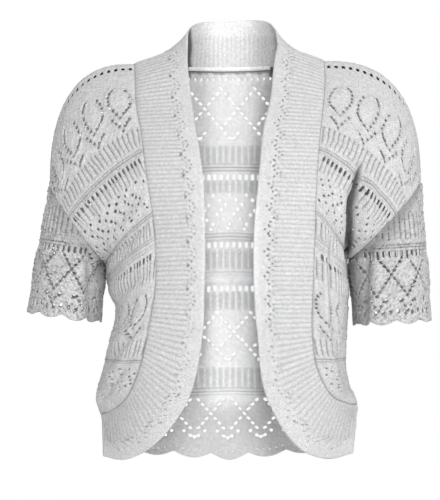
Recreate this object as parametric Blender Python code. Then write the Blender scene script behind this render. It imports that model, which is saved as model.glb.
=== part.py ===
# A short knitted lace shrug, filled out as if worn, with no fastening.
# It is cut as a back, two fronts and two short sleeves in lace, with one wide ribbed band
# that runs up both fronts and stands as a collar behind the neck, and a tape on the neck seam.
# The origin is the inner face of the back neck seam. +Z is up and the front faces -Y.
# Sizes in this file are millimetres, turned into metres where the meshes are made.
# "Left" is the side at -X.

import math

import bpy
import numpy as np

MM = 0.001

# Cloth
WALL = 2.2
SEAM_GAP = 0.4
RIB_LIFT = 0.9
GARTER_LIFT = 1.0
GARTER_PITCH = 4.0
GARTER_LINES = 7
LACE_RIB_PITCH = 7.6
SLOT_PITCH = 8.6
SLOT_SIZE = (4.2, 7.4)
EYELET_SIZE = (4.5, 4.6)
DIAMOND_PERIOD = 44.0
DIAMOND_ROW = 6.6
BASE_STEP = 36.0
SEAM_STEP = 11.0
TOP_MARGIN = 12.0
HEM_MARGIN = 12.0
HOLE_MARGIN = 5.0
LONGEST_ROW = 400.0

LACE_COLOUR = (0.78, 0.78, 0.78)
BAND_COLOUR = (0.72, 0.72, 0.73)

# Band
BAND_RIB_PITCH = 6.0
BAND_SWELL = 4.0
BAND_RIBBED = 0.74
BAND_STEP = 11.0
BAND_SEAM_LEVEL = 5.0
BAND_STRIP_LEVEL = 4.0
BAND_BORDER_LEVEL = 0.4

# Tape on the neck seam
TAPE_HEIGHT = 5.0
TAPE_THICK = 1.4
TAPE_REACH = 46.0
TAPE_STEP = 8.0

# Armholes and sleeves
ARM_MIDDLE_Y = -60.0
ARM_HALF_DEPTH = 62.0
ARMHOLE_SAG = 6.0
UNDERARM_EASE = 5.0
CUFF_HALF_DEPTH = 60.0
SLEEVE_LENGTH = 168.0
SHOULDER_ROUNDNESS = 2.6

# Hems
FRONT_LENGTH = 530.0
BACK_LENGTH = 529.0
BACK_DROP = 0.985
BACK_SCALLOP = (5.5, 51.0)
CUFF_SCALLOP = (3.0, 34.0)

# Each station of the band, from the shoulder seam down to the side seam.
BAND_STATIONS = (
    # seam y, edge y, left seam x, z, left edge x, z, right seam x, z, right edge x, z
    (-48, -60, -126, 2, -55, 24, 124, 6, 62, 27),
    (-73, -84, -124, -20, -55, -2, 124, -20, 57, 0),
    (-100, -114, -122, -52, -50, -47, 121, -52, 52, -45),
    (-126, -142, -115, -89, -44, -88, 116, -89, 42, -88),
    (-150, -165, -108, -138, -36, -137, 111, -138, 37, -137),
    (-158, -175, -95, -236, -32, -233, 107, -236, 29, -233),
    (-155, -172, -96, -295, -33, -295, 105, -295, 30, -295),
    (-149, -165, -103, -337, -35, -347, 104, -344, 34, -347),
    (-136, -148, -115, -390, -55, -436, 111, -393, 46, -429),
    (-112, -124, -133, -432, -105, -498, 133, -432, 92, -499),
    (-92, -98, -147, -446, -135, -513, 148, -439, 124, -512),
    (-67, -67, -166, -455, -164, -512, 164, -443, 159, -508),
)

# Each station of the collar behind the neck, from the left shoulder to the right one.
COLLAR_STATIONS = (
    # seam x, y, z, top edge x, y, z
    (-126, -48, 2, -55, -60, 24),
    (-86, -21, 1, -53, -43, 48),
    (-43, -5, 0, -38, -26, 59),
    (0, 0, 0, 0, -20, 61),
    (43, -5, 1, 42, -26, 62),
    (86, -21, 4, 57, -43, 50),
    (124, -48, 6, 62, -60, 27),
)

# Both ends of the armhole and of the cuff, seen from the front.
SLEEVES = {
    # side: armhole outer x, z, armhole inner x, z, cuff outer x, z, cuff inner x, z
    "left": (-234, -158, -161, -257, -264, -321, -170, -334),
    "right": (248, -153, 153, -253, 262, -332, 163, -338),
}

# The side seams, from the underarm to the hem.
SIDE_SEAMS = {
    # x, z
    "left": ((-161, -257), (-157, -293), (-146, -322), (-154, -358), (-168, -411),
             (-174, -438), (-168, -456), (-165, -512)),
    "right": ((153, -253), (152, -283), (150, -331), (149, -359), (155, -420),
              (165, -443), (164, -464), (160, -508)),
}
SIDE_SEAM_Y = -66.0

# Rows of the fronts. "Outer" runs round the armhole from 0 to 1, then down the side to 2.
FRONT_ROWS = (
    # distance down the band seam, outer, roundness of the row, roundness of the depth
    (0, 0.0, SHOULDER_ROUNDNESS, 1.0),
    (40, 0.11, 2.3, 1.1),
    (90, 0.25, 1.7, 1.2),
    (150, 0.41, 1.2, 1.4),
    (195, 0.62, 1.1, 1.4),
    (222, 0.82, 1.1, 1.5),
    (246, 1.0, 1.1, 1.8),
    (300, 1.16, 1.05, 2.1),
    (367, 1.33, 1.0, 2.1),
    (440, 1.54, 1.0, 2.0),
    (500, 1.65, 1.0, 1.8),
    (532, 1.70, 1.0, 1.5),
)

# Rows of the back, by the distance down its middle line.
BACK_ROWS = (
    # distance, depth of the middle line, outer, roundness of the row, roundness of the depth
    (0, 0, 0.0, 4.5, 1.0),
    (60, 18, 0.17, 3.3, 1.5),
    (133, 34, 0.41, 2.1, 1.6),
    (180, 36, 0.64, 1.8, 1.6),
    (212, 35, 0.84, 1.6, 1.7),
    (238, 32, 1.0, 1.6, 2.0),
    (300, 20, 1.20, 1.4, 2.3),
    (380, 14, 1.50, 1.3, 2.2),
    (460, 18, 1.79, 1.2, 2.2),
    (536, 24, 2.0, 1.1, 2.1),
)

# Which pieces each one is sewn to.
NEIGHBOURS = {
    "back": ("front_left", "front_right", "sleeve_left_back", "sleeve_right_back", "collar",
             "band_left", "band_right"),
    "collar": ("back", "band_left", "band_right"),
}
for hand in ("left", "right"):
    NEIGHBOURS[f"front_{hand}"] = ("back", f"band_{hand}", f"sleeve_{hand}_front", "collar")
    NEIGHBOURS[f"band_{hand}"] = (f"front_{hand}", "collar", "back")
    NEIGHBOURS[f"sleeve_{hand}_front"] = (f"front_{hand}", f"sleeve_{hand}_back", "back")
    NEIGHBOURS[f"sleeve_{hand}_back"] = ("back", f"sleeve_{hand}_front", f"front_{hand}")

# Lace charts. Distances run down the band seam, the middle of the back or the sleeve.
RIB_ZONES = {
    "front": ((119, 141), (294, 318)),
    "back": ((303, 326), (406, 431)),
    "sleeve": ((24, 42, 60),),
}
GARTER_ZONES = {
    "front": (145, 230),
    "back": (127, 219, 275),
    "sleeve": (68,),
}
SLOT_ROWS = {
    "front": (164, 287),
    "back": (145, 238, 298),
    "sleeve": (),
}
SLOT_REACH = {"front": 104.0, "back": 104.0, "sleeve": 0.0}
# Each diamond row is named by its crossing, with the rows below it that are cut through.
DIAMOND_CROSSINGS = {
    "front": ((66, (2, 3)),),
    "back": ((53, (3,)), (356, (2, 3))),
    "sleeve": ((104, (2, 3)),),
}
DIAMOND_REACH = {"front": 170.0, "back": 150.0, "sleeve": 175.0}
WIDEST_GAP = {"front": 18.0, "back": 22.0, "sleeve": 22.0}
INNER_GAP = 14.0
# Rows close to the underarm turn sharply at their outer ends, and have extra points there.
UNDERARM_ROWS = {"front": (170, 310), "back": (150, 310), "sleeve": (0, 0)}
UNDERARM_STEPS = (8.0, 20.0)
UNDERARM_WALL_SHARE = 0.4
UNDERARM_THINNED = 30.0
# How far down the back its own rows have taken over from the line of the top seams.
BACK_TOP_FADE = 100.0


def vector(*values):
    """One point as an array."""
    return np.array(values, dtype=float)


def smooth(keys, values, at):
    """A smooth curve through table rows: each row's values, read at any key."""
    keys = np.asarray(keys, dtype=float)
    values = np.asarray(values, dtype=float)
    slopes = np.gradient(values, keys, axis=0)
    index = int(np.clip(np.searchsorted(keys, at) - 1, 0, len(keys) - 2))
    span = keys[index + 1] - keys[index]
    t = (at - keys[index]) / span
    start_weight = 2 * t ** 3 - 3 * t ** 2 + 1
    start_slope = (t ** 3 - 2 * t ** 2 + t) * span
    end_slope = (t ** 3 - t ** 2) * span
    return (
        start_weight * values[index]
        + start_slope * slopes[index]
        + (1 - start_weight) * values[index + 1]
        + end_slope * slopes[index + 1]
    )


def walked(points):
    """The distance along a line of points, at each of them."""
    steps = np.linalg.norm(np.diff(points[:, :3], axis=0), axis=1)
    return np.concatenate([[0.0], np.cumsum(steps)])


def even(points, count):
    """The same line with evenly spaced points."""
    distance = walked(points)
    targets = np.linspace(0.0, distance[-1], count)
    return np.column_stack([np.interp(targets, distance, axis) for axis in points.T])


class Path:
    """A smooth line through stations. Extra columns ride along with the first three."""

    def __init__(self, stations, count=240):
        stations = np.asarray(stations, dtype=float)
        keys = walked(stations)
        fine = [smooth(keys, stations, key) for key in np.linspace(0.0, keys[-1], count)]
        self.points = np.array(fine)
        self.distance = walked(self.points)
        self.length = self.distance[-1]

    def at(self, distance):
        return np.array([np.interp(distance, self.distance, axis) for axis in self.points.T])


def band_path(side):
    """Seam and free edge of one front band, six columns, from the shoulder down."""
    first = 2 if side == "left" else 6
    rows = []
    for row in BAND_STATIONS:
        seam_x, seam_z, edge_x, edge_z = row[first:first + 4]
        rows.append((seam_x, row[0], seam_z, edge_x, row[1], edge_z))
    return Path(rows)


BAND = {side: band_path(side) for side in ("left", "right")}
COLLAR = Path(COLLAR_STATIONS)


def ring(outer, inner, half_depth, sag, angle, face):
    """A point on a sleeve's ring: angle 0 is its outer end, pi its inner end."""
    middle = (outer + inner) / 2
    reach = (outer - inner) / 2
    deep = vector(0, face * half_depth, -sag)
    return middle + math.cos(angle) * reach + math.sin(angle) * deep


def armhole(side, share, face, ease=0.0):
    """The armhole seam at a share of its half ring, face -1 in front and 1 behind."""
    outer_x, outer_z, inner_x, inner_z = SLEEVES[side][:4]
    outward = -1 if side == "left" else 1
    angle = math.pi * share
    near_underarm = ((1 - math.cos(angle)) / 2) ** 4
    point = ring(
        vector(outer_x, ARM_MIDDLE_Y, outer_z),
        vector(inner_x, ARM_MIDDLE_Y, inner_z),
        ARM_HALF_DEPTH, ARMHOLE_SAG, angle, face,
    )
    return point + vector(outward * ease * near_underarm, 0, 0)


def cuff(side, share, face):
    """The cuff's ring at a share of its half."""
    outer_x, outer_z, inner_x, inner_z = SLEEVES[side][4:]
    return ring(
        vector(outer_x, ARM_MIDDLE_Y, outer_z),
        vector(inner_x, ARM_MIDDLE_Y, inner_z),
        CUFF_HALF_DEPTH, 0.0, math.pi * share, face,
    )


def side_seam_path(side):
    """The side seam, from the underarm to the hem."""
    stations = [(x, SIDE_SEAM_Y, z) for x, z in SIDE_SEAMS[side]]
    stations[0] = tuple(armhole(side, 1.0, -1))
    return Path(stations)


SIDE = {side: side_seam_path(side) for side in ("left", "right")}


def outer_line(side, share, face):
    """The outer border of a front or of half the back."""
    if share <= 1.0:
        return armhole(side, max(share, 0.0), face)
    return SIDE[side].at((share - 1.0) * SIDE[side].length)


def cross_row(start, end, roundness, depth_roundness, count=72):
    """One row of knitting, bowed from its start out to its end."""
    tau = np.linspace(0.0, math.pi / 2, 4 * count)
    across = np.sin(tau) ** (2 / roundness)
    fall = 1 - np.cos(tau) ** (2 / roundness)
    x = start[0] + (end[0] - start[0]) * across
    z = start[2] + (end[2] - start[2]) * fall
    progress = walked(np.column_stack([x, np.zeros_like(x), z]))
    progress = progress / progress[-1]
    rounded = (1 - np.clip(progress, 0, 1) ** depth_roundness) ** (1 / depth_roundness)
    y = end[1] + (start[1] - end[1]) * rounded
    return even(np.column_stack([x, y, z]), count)


def table_at(table, key):
    """The other columns of a table at one key, smoothly between its rows."""
    return smooth([row[0] for row in table], [row[1:] for row in table], key)


def front_row(side, distance):
    """A row of one front, from the band seam to the armhole or the side seam."""
    share, roundness, depth_roundness = table_at(FRONT_ROWS, distance)
    start = BAND[side].at(distance * BAND[side].length / BAND["left"].length)[:3]
    return cross_row(start, outer_line(side, share, -1), roundness, depth_roundness)


def shoulder_row(side):
    """The shoulder seam, from the band out and down to the top of the armhole."""
    return front_row(side, 0.0)


def neck_row(side):
    """Half the back neck seam, from its middle out to the shoulder seam."""
    half = len(COLLAR.points) // 2
    if side == "left":
        return COLLAR.points[half::-1, :3]
    return COLLAR.points[half:, :3]


def back_half_row(side, distance, count=96):
    """Half a row of the back, from the middle line to the armhole or the side seam."""

    def plain(at):
        middle_y, share, roundness, depth_roundness = table_at(BACK_ROWS, at)
        start = vector(0, middle_y, -at * BACK_DROP)
        end = outer_line(side, share, 1)
        return cross_row(start, end, roundness, depth_roundness, count)

    top_seam = even(np.vstack([neck_row(side), shoulder_row(side)[1:]]), count)
    fade = max(0.0, 1 - distance / BACK_TOP_FADE) ** 2
    return plain(distance) + (top_seam - plain(0.0)) * fade


def back_row(distance):
    """A whole row of the back, from the left side to the right side."""
    left = back_half_row("left", distance)
    right = back_half_row("right", distance)
    return np.vstack([left[::-1], right[1:]])


def sleeve_row(side, face, distance, count=72):
    """A row of half a sleeve, from its outer line round to the underarm line."""
    share_down = distance / SLEEVE_LENGTH
    points = []
    for share in np.linspace(0.0, 1.0, 2 * count):
        top = armhole(side, share, face, UNDERARM_EASE)
        points.append(top + (cuff(side, share, face) - top) * share_down)
    return even(np.array(points), count)


def strip_row(path, share, count, swell, outward):
    """A line along a band at a share of its width, swelling out between its edges."""
    stations = path.points
    seam = stations[:, :3]
    edge = stations[:, 3:]
    rise = 4 * share * (1 - share) * swell
    line = seam + (edge - seam) * share + outward * rise
    targets = np.linspace(0.0, path.distance[-1], count)
    return np.column_stack([np.interp(targets, path.distance, axis) for axis in line.T])


class Sheet:
    """A curved form: position and way out at (a, b), a along a row and b down the rows."""

    def __init__(self, row, last, centre, middle_zero=False, count=110):
        self.levels = np.linspace(0.0, last, count)
        self.net = np.array([row(level) for level in self.levels])
        along = np.gradient(self.net, axis=1)
        down = np.gradient(self.net, axis=0)
        normal = np.cross(along, down)
        normal /= np.linalg.norm(normal, axis=2, keepdims=True) + 1e-12
        away = self.net - np.asarray(centre)
        away[:, :, 2] *= 0.3
        if np.mean(np.sum(normal * away, axis=2)) < 0:
            normal = -normal
        self.normal = normal
        self.across = np.array([walked(line) for line in self.net])
        if middle_zero:
            middle = self.net.shape[1] // 2
            self.across -= self.across[:, middle:middle + 1]

    def borders(self):
        """Index pairs of the net's four borders."""
        rows, columns = self.net.shape[:2]
        top = [(0, k) for k in range(columns)] + [(rows - 1, k) for k in range(columns)]
        return top + [(k, 0) for k in range(rows)] + [(k, columns - 1) for k in range(rows)]

    def beside(self, b, points, reach=6.0):
        """Positions along one row that lie beside a neighbour's points."""
        index = int(round(self.blend(b)[0]))
        line = self.net[index]
        found = []
        for point in points:
            steps = line[1:] - line[:-1]
            share = np.sum((point - line[:-1]) * steps, axis=1) / np.sum(steps * steps, axis=1)
            share = np.clip(share, 0.0, 1.0)
            apart = np.linalg.norm(line[:-1] + steps * share[:, None] - point, axis=1)
            best = int(np.argmin(apart))
            if apart[best] < reach:
                across = self.across[index]
                found.append(across[best] + (across[best + 1] - across[best]) * share[best])
        return found

    def blend(self, b):
        place = np.interp(b, self.levels, np.arange(len(self.levels)))
        index = min(int(place), len(self.levels) - 2)
        return index, place - index

    def ends(self, b):
        """Where a row starts and ends."""
        index, t = self.blend(b)
        rows = self.across[index] * (1 - t) + self.across[index + 1] * t
        return rows[0], rows[-1]

    def at(self, a, b):
        """Position and outward normal."""
        index, t = self.blend(b)
        found = []
        for net in (self.net, self.normal):
            near = [np.interp(a, self.across[index], axis) for axis in net[index].T]
            far = [np.interp(a, self.across[index + 1], axis) for axis in net[index + 1].T]
            found.append(np.array(near) * (1 - t) + np.array(far) * t)
        return found[0], found[1] / np.linalg.norm(found[1])


class Line:
    """A line of points across a cloth piece, at distance b."""

    def __init__(self, b, marks=(), cuts=(), inner=False, step=BASE_STEP, wave=None,
                 anchors=(), inner_anchors=()):
        self.b = b
        self.anchors = list(anchors)
        self.inner_anchors = list(inner_anchors)
        self.marks = list(marks)
        self.cuts = list(cuts)
        self.inner = inner
        self.step = step
        self.wave = wave
        self.raised = 0.0
        self.turns = ()


def strip(upper, lower):
    """Triangles between two lines of (position, vertex) pairs."""
    faces = []
    i = 0
    j = 0
    while i + 1 < len(upper) or j + 1 < len(lower):
        take_upper = j + 1 == len(lower)
        if i + 1 < len(upper) and j + 1 < len(lower):
            take_upper = upper[i + 1][0] <= lower[j + 1][0]
        if take_upper:
            faces.append((upper[i][1], lower[j][1], upper[i + 1][1]))
            i += 1
        else:
            faces.append((upper[i][1], lower[j][1], lower[j + 1][1]))
            j += 1
    return faces


def between(line, start, end):
    """The part of a line from one position to another."""
    return [pair for pair in line if start - 1e-6 <= pair[0] <= end + 1e-6]


def vertex_at(line, position):
    """The vertex of a line at a position."""
    return min(line, key=lambda pair: abs(pair[0] - position))[1]


def positions(sheet, line, corners, marks, anchors):
    """Positions of a line's points: its ends, hole corners, marks, anchors and even fill."""
    first, last = sheet.ends(line.b)
    first += SEAM_GAP / 2
    last -= SEAM_GAP / 2
    turns = [last - turn for turn in line.turns]
    if first < -BASE_STEP:
        turns += [first + turn for turn in line.turns]
    blocked = corners + list(marks) + list(anchors)
    turns = [turn for turn in turns if all(abs(turn - other) > 3.0 for other in blocked)]
    inside = [m for m in list(marks) + list(anchors) if first + 1 < m < last - 1]
    turns = [turn for turn in turns if first + 3 < turn < last - 3]
    needed = sorted([first, last] + corners + inside + turns)
    kept = [needed[0]]
    for value in needed[1:]:
        if value - kept[-1] > 1e-3:
            kept.append(value)
    filled = [kept[0]]
    for value in kept[1:]:
        pieces = max(1, math.ceil((value - filled[-1]) / line.step))
        start = filled[-1]
        for k in range(1, pieces + 1):
            filled.append(start + (value - start) * k / pieces)
    return filled


def fitting_cuts(sheet, upper, lower):
    """The holes between two lines that keep clear of the piece's borders."""
    first = max(sheet.ends(upper.b)[0], sheet.ends(lower.b)[0]) + HOLE_MARGIN
    last = min(sheet.ends(upper.b)[1], sheet.ends(lower.b)[1]) - HOLE_MARGIN
    return [cut for cut in upper.cuts if cut[0] > first and cut[1] < last]


def thinning(point):
    """The wall thins into the underarm, where the side seam and the armhole meet."""
    nearest = min(np.linalg.norm(point - SIDE[side].points[0]) for side in SIDE)
    share = min(1.0, nearest / UNDERARM_THINNED)
    return UNDERARM_WALL_SHARE + (1.0 - UNDERARM_WALL_SHARE) * share


def cloth(name, sheet, lines, colour, thickness=WALL):
    """A knitted piece as one closed solid: raised outside, plain inside, holes cut through."""
    lines = sorted(lines, key=lambda line: line.b)
    for line in (lines[0], lines[-1]):
        line.inner = True
    cuts = [fitting_cuts(sheet, up, down) for up, down in zip(lines, lines[1:])] + [[]]
    vertices = []
    outer = []
    inner = []
    for index, line in enumerate(lines):
        owned = cuts[index] + (cuts[index - 1] if index else [])
        corners = sorted({edge for cut in owned for edge in cut})
        lift = dict(line.marks)
        clear = [
            mark for mark in lift
            if all(abs(mark - corner) > 0.8 for corner in corners)
            and not any(cut[0] < mark < cut[1] for cut in owned)
        ]

        def add(position, height):
            drop = line.wave(position) if line.wave else 0.0
            point, normal = sheet.at(position, line.b + drop)
            vertices.append(tuple((point + normal * height * thinning(point)) * MM))
            return position, len(vertices) - 1

        line_outer = positions(sheet, line, corners, clear, line.anchors)
        outer.append([add(a, thickness + lift.get(a, 0.0)) for a in line_outer])
        if line.inner:
            line_inner = positions(sheet, line, corners, [], line.inner_anchors)
            inner.append([add(a, 0.0) for a in line_inner])
        else:
            inner.append(None)
    faces = []
    for index, pair in enumerate(zip(outer, outer[1:])):
        faces += holed_strip(pair[0], pair[1], cuts[index])
    inner_rows = [index for index, row in enumerate(inner) if row]
    for up, down in zip(inner_rows, inner_rows[1:]):
        holes = cuts[up] if down == up + 1 else []
        faces += [face[::-1] for face in holed_strip(inner[up], inner[down], holes)]
        for left, right in holes:
            corners = [(up, left), (up, right), (down, right), (down, left)]
            for (row_a, at_a), (row_b, at_b) in zip(corners, corners[1:] + corners[:1]):
                faces.append((
                    vertex_at(outer[row_a], at_a), vertex_at(outer[row_b], at_b),
                    vertex_at(inner[row_b], at_b), vertex_at(inner[row_a], at_a),
                ))
    for end in (0, -1):
        outer_side = [(line.b, row[end][1]) for line, row in zip(lines, outer)]
        inner_side = [(line.b, row[end][1]) for line, row in zip(lines, inner) if row]
        side = strip(outer_side, inner_side)
        faces += side if end else [face[::-1] for face in side]
    faces += [face[::-1] for face in strip(outer[0], inner[0])]
    faces += strip(outer[-1], inner[-1])
    return make_object(name, vertices, faces, colour)


def holed_strip(upper, lower, cuts):
    """Triangles between two lines, leaving the cuts open."""
    starts = [None] + [cut[1] for cut in cuts]
    ends = [cut[0] for cut in cuts] + [None]
    faces = []
    for start, end in zip(starts, ends):
        sections = []
        for line in (upper, lower):
            first = line[0][0] if start is None else start
            last = line[-1][0] if end is None else end
            sections.append(between(line, first, last))
        faces += strip(sections[0], sections[1])
    return faces


def make_object(name, vertices, faces, colour):
    """The object, its mesh and its own material."""
    mesh = bpy.data.meshes.new(name)
    mesh.from_pydata(vertices, [], faces)
    mesh.validate()
    built = bpy.data.objects.new(name, mesh)
    bpy.context.scene.collection.objects.link(built)
    bpy.context.view_layer.objects.active = built
    built.select_set(True)
    bpy.ops.object.mode_set(mode="EDIT")
    bpy.ops.mesh.select_all(action="SELECT")
    bpy.ops.mesh.normals_make_consistent(inside=False)
    bpy.ops.object.mode_set(mode="OBJECT")
    built.select_set(False)
    material = bpy.data.materials.new(name)
    material.use_nodes = True
    shader = material.node_tree.nodes["Principled BSDF"]
    shader.inputs["Base Color"].default_value = (*colour, 1.0)
    shader.inputs["Roughness"].default_value = 0.9
    shader.inputs["Metallic"].default_value = 0.0
    mesh.materials.append(material)
    return built


def rib_marks(first, last, pitch, lift):
    """Points of a ribbed line: a raised rib and a plain groove by turns."""
    count = int((last - first) / pitch)
    marks = []
    for k in range(count + 1):
        marks.append((first + k * pitch, lift))
        marks.append((first + (k + 0.5) * pitch, 0.0))
    return marks


def even_cuts(reach, pitch, width, both_ways):
    """Equal holes along a row, out to the reach on one side or on both."""
    count = int(reach / pitch)
    centres = [(k + 0.5) * pitch for k in range(count)]
    if both_ways:
        centres += [-centre for centre in centres]
    return sorted((centre - width / 2, centre + width / 2) for centre in centres)


def diamond_cuts(step, reach, both_ways):
    """Holes on one row below a crossing: each stands one step nearer the diamond's foot."""
    foot_steps = 4
    slant = DIAMOND_PERIOD / 2 / foot_steps
    width = EYELET_SIZE[0]
    count = int(reach / DIAMOND_PERIOD)
    centres = []
    for k in range(-count if both_ways else 0, count + 1):
        crossing = k * DIAMOND_PERIOD
        centres += [crossing - step * slant, crossing + step * slant]
    return sorted((centre - width / 2, centre + width / 2) for centre in centres)


def lace_lines(kind, length, both_ways=False, hem=None, anchors=(), inner_anchors=()):
    """All lines of a lace piece, from its chart."""
    top_step = LONGEST_ROW if kind == "sleeve" else SEAM_STEP
    top = Line(SEAM_GAP, step=top_step, anchors=anchors, inner_anchors=inner_anchors)
    lines = [top, Line(TOP_MARGIN, inner=True)]
    first_rib = -LONGEST_ROW if both_ways else 2.0
    for zone in RIB_ZONES[kind]:
        marks = rib_marks(first_rib, LONGEST_ROW, LACE_RIB_PITCH, RIB_LIFT)
        lines += [Line(b, marks) for b in zone]
    for start in GARTER_ZONES[kind]:
        for k in range(GARTER_LINES):
            lines.append(Line(start + k * GARTER_PITCH / 2))
            lines[-1].raised = GARTER_LIFT if k % 2 else 0.0
    for middle in SLOT_ROWS[kind]:
        cuts = even_cuts(SLOT_REACH[kind], SLOT_PITCH, SLOT_SIZE[0], both_ways)
        lines.append(Line(middle - SLOT_SIZE[1] / 2, cuts=cuts, inner=True))
        lines.append(Line(middle + SLOT_SIZE[1] / 2, inner=True))
    for crossing, steps in DIAMOND_CROSSINGS[kind]:
        for step in steps:
            middle = crossing + step * DIAMOND_ROW
            cuts = diamond_cuts(step, DIAMOND_REACH[kind], both_ways)
            lines.append(Line(middle - EYELET_SIZE[1] / 2, cuts=cuts, inner=True))
            lines.append(Line(middle + EYELET_SIZE[1] / 2, inner=True))
    if hem:
        height, period = hem
        lines.append(Line(length - HEM_MARGIN, inner=True))
        lines.append(Line(length, step=period / 6, wave=lambda a: scallop(a, height, period)))
    else:
        lines.append(Line(length - SEAM_GAP, inner=True))
    return fill_lines(lines, kind)


def scallop(a, height, period):
    """How far a scalloped hem drops at a distance along it."""
    return height * (2 * abs(math.cos(math.pi * a / period)) - 1)


def fill_lines(lines, kind):
    """Extra plain lines where a gap between lines is too wide to follow the form."""
    lines = sorted(lines, key=lambda line: line.b)
    extra = []
    for up, down in zip(lines, lines[1:]):
        pieces = math.ceil((down.b - up.b) / WIDEST_GAP[kind])
        for k in range(1, pieces):
            extra.append(Line(up.b + (down.b - up.b) * k / pieces, inner=True))
    lines = sorted(lines + extra, key=lambda line: line.b)
    lines[0].inner = True
    lines[-1].inner = True
    low, high = UNDERARM_ROWS[kind]
    for line in lines:
        if low < line.b < high:
            line.turns = UNDERARM_STEPS
    last_inner = 0.0
    for line, following in zip(lines, lines[1:]):
        if line.inner or following.b - last_inner > INNER_GAP:
            line.inner = True
            last_inner = line.b
    return lines


def raise_garter(sheet, lines):
    """Garter ridges lift every point of their own lines."""
    for line in lines:
        if not line.raised:
            continue
        first, last = sheet.ends(line.b)
        count = max(2, math.ceil((last - first) / BASE_STEP))
        places = np.linspace(first + 3.0, last - 3.0, count)
        line.marks = [(float(place), line.raised) for place in places]


def end_points(sheet, lines, end):
    """Where a piece's lines meet one of its side borders."""
    return [sheet.at(sheet.ends(line.b)[end], line.b)[0] for line in lines]


def line_points(sheet, line):
    """The points along one line of a piece."""
    places = positions(sheet, line, [], [], line.anchors)
    return [sheet.at(place, line.b)[0] for place in places]


def inner_only(lines):
    """The lines that the plain inside shares."""
    return [line for line in lines if line.inner]


def lean_together(sheets, reach=3.0):
    """Make neighbouring borders lean the same way, so that the walls meet edge to edge."""
    borders = {}
    for name, sheet in sheets.items():
        index = tuple(np.array(sheet.borders()).T)
        borders[name] = (index, sheet.net[index], sheet.normal[index].copy())
    for name, (index, places, ways) in borders.items():
        total = ways.copy()
        for other in NEIGHBOURS[name]:
            _, other_places, other_ways = borders[other]
            for k, place in enumerate(places):
                apart = np.linalg.norm(other_places - place, axis=1)
                nearest = int(np.argmin(apart))
                if apart[nearest] < reach:
                    total[k] += other_ways[nearest]
        sheets[name].normal[index] = total / np.linalg.norm(total, axis=1, keepdims=True)


def band_sheet(path, centre, outward):
    """The band's form: a runs along its length and b across its width, 0 to 100."""
    count = max(120, int(path.length / 3))
    return Sheet(
        lambda level: strip_row(path, level / 100.0, count, BAND_SWELL, outward),
        100.0, centre, count=25,
    )


def band_piece(name, sheet, length, seam_points, inner_seam_points, colour):
    """A length of ribbed band with a smooth strip along its free edge."""
    share = BAND_RIBBED * 100
    seam_line = Line(
        BAND_BORDER_LEVEL,
        anchors=sheet.beside(0.0, seam_points),
        inner_anchors=sheet.beside(0.0, inner_seam_points),
    )
    lines = [seam_line, Line(100.0 - BAND_BORDER_LEVEL, step=BAND_STEP)]
    for level in (BAND_SEAM_LEVEL, share):
        line = Line(level, inner=level > BAND_SEAM_LEVEL, step=BAND_STEP)
        first, last = sheet.ends(level)
        pitch = (last - first) / round(length / BAND_RIB_PITCH)
        line.marks = rib_marks(first + pitch * 0.75, last - 1.0, pitch, RIB_LIFT)
        lines.append(line)
    lines.append(Line(share + BAND_STRIP_LEVEL, step=BAND_STEP))
    return cloth(name, sheet, lines, colour)


def neck_tape(colour):
    """The narrow tape sewn along the back neck seam, inside the neck."""
    clear = 3.0 * SEAM_GAP + TAPE_THICK
    middle = COLLAR.length / 2

    def tape_row(level):
        points = []
        for distance in np.linspace(middle - TAPE_REACH, middle + TAPE_REACH, 60):
            station = COLLAR.at(distance)
            up = station[3:] - station[:3]
            up = up / np.linalg.norm(up)
            along = COLLAR.at(distance + 1.0)[:3] - COLLAR.at(distance - 1.0)[:3]
            inward = np.cross(up, along)
            inward = inward / np.linalg.norm(inward)
            if inward[1] > 0:
                inward = -inward
            points.append(station[:3] + up * (TAPE_HEIGHT / 2 - level) + inward * clear)
        return np.array(points)

    sheet = Sheet(tape_row, TAPE_HEIGHT, (0, ARM_MIDDLE_Y, 0), count=5)
    lines = [Line(0.0, step=TAPE_STEP), Line(TAPE_HEIGHT, step=TAPE_STEP)]
    return cloth("neck_tape", sheet, lines, colour, TAPE_THICK)


def clear_scene():
    """Remove whatever the scene holds."""
    for thing in list(bpy.data.objects):
        bpy.data.objects.remove(thing, do_unlink=True)


def make_sheets():
    """The curved forms of all pieces, by name."""
    torso = (0, ARM_MIDDLE_Y, -250)
    forward = vector(0, -1, 0)
    sheets = {}
    for side in ("left", "right"):
        sheets[f"front_{side}"] = Sheet(lambda b: front_row(side, b), FRONT_LENGTH + 2.0, torso)
        sheets[f"band_{side}"] = band_sheet(BAND[side], torso, forward)
        arm_x = (SLEEVES[side][0] + SLEEVES[side][6]) / 2
        for face, place in ((-1, "front"), (1, "back")):
            sheets[f"sleeve_{side}_{place}"] = Sheet(
                lambda b: sleeve_row(side, face, b), SLEEVE_LENGTH + 6.0,
                (arm_x, ARM_MIDDLE_Y, -250),
            )
    sheets["back"] = Sheet(back_row, BACK_LENGTH + 7.0, torso, middle_zero=True)
    sheets["collar"] = band_sheet(COLLAR, (0, ARM_MIDDLE_Y, 20), 0 * forward)
    lean_together(sheets)
    return sheets


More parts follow.
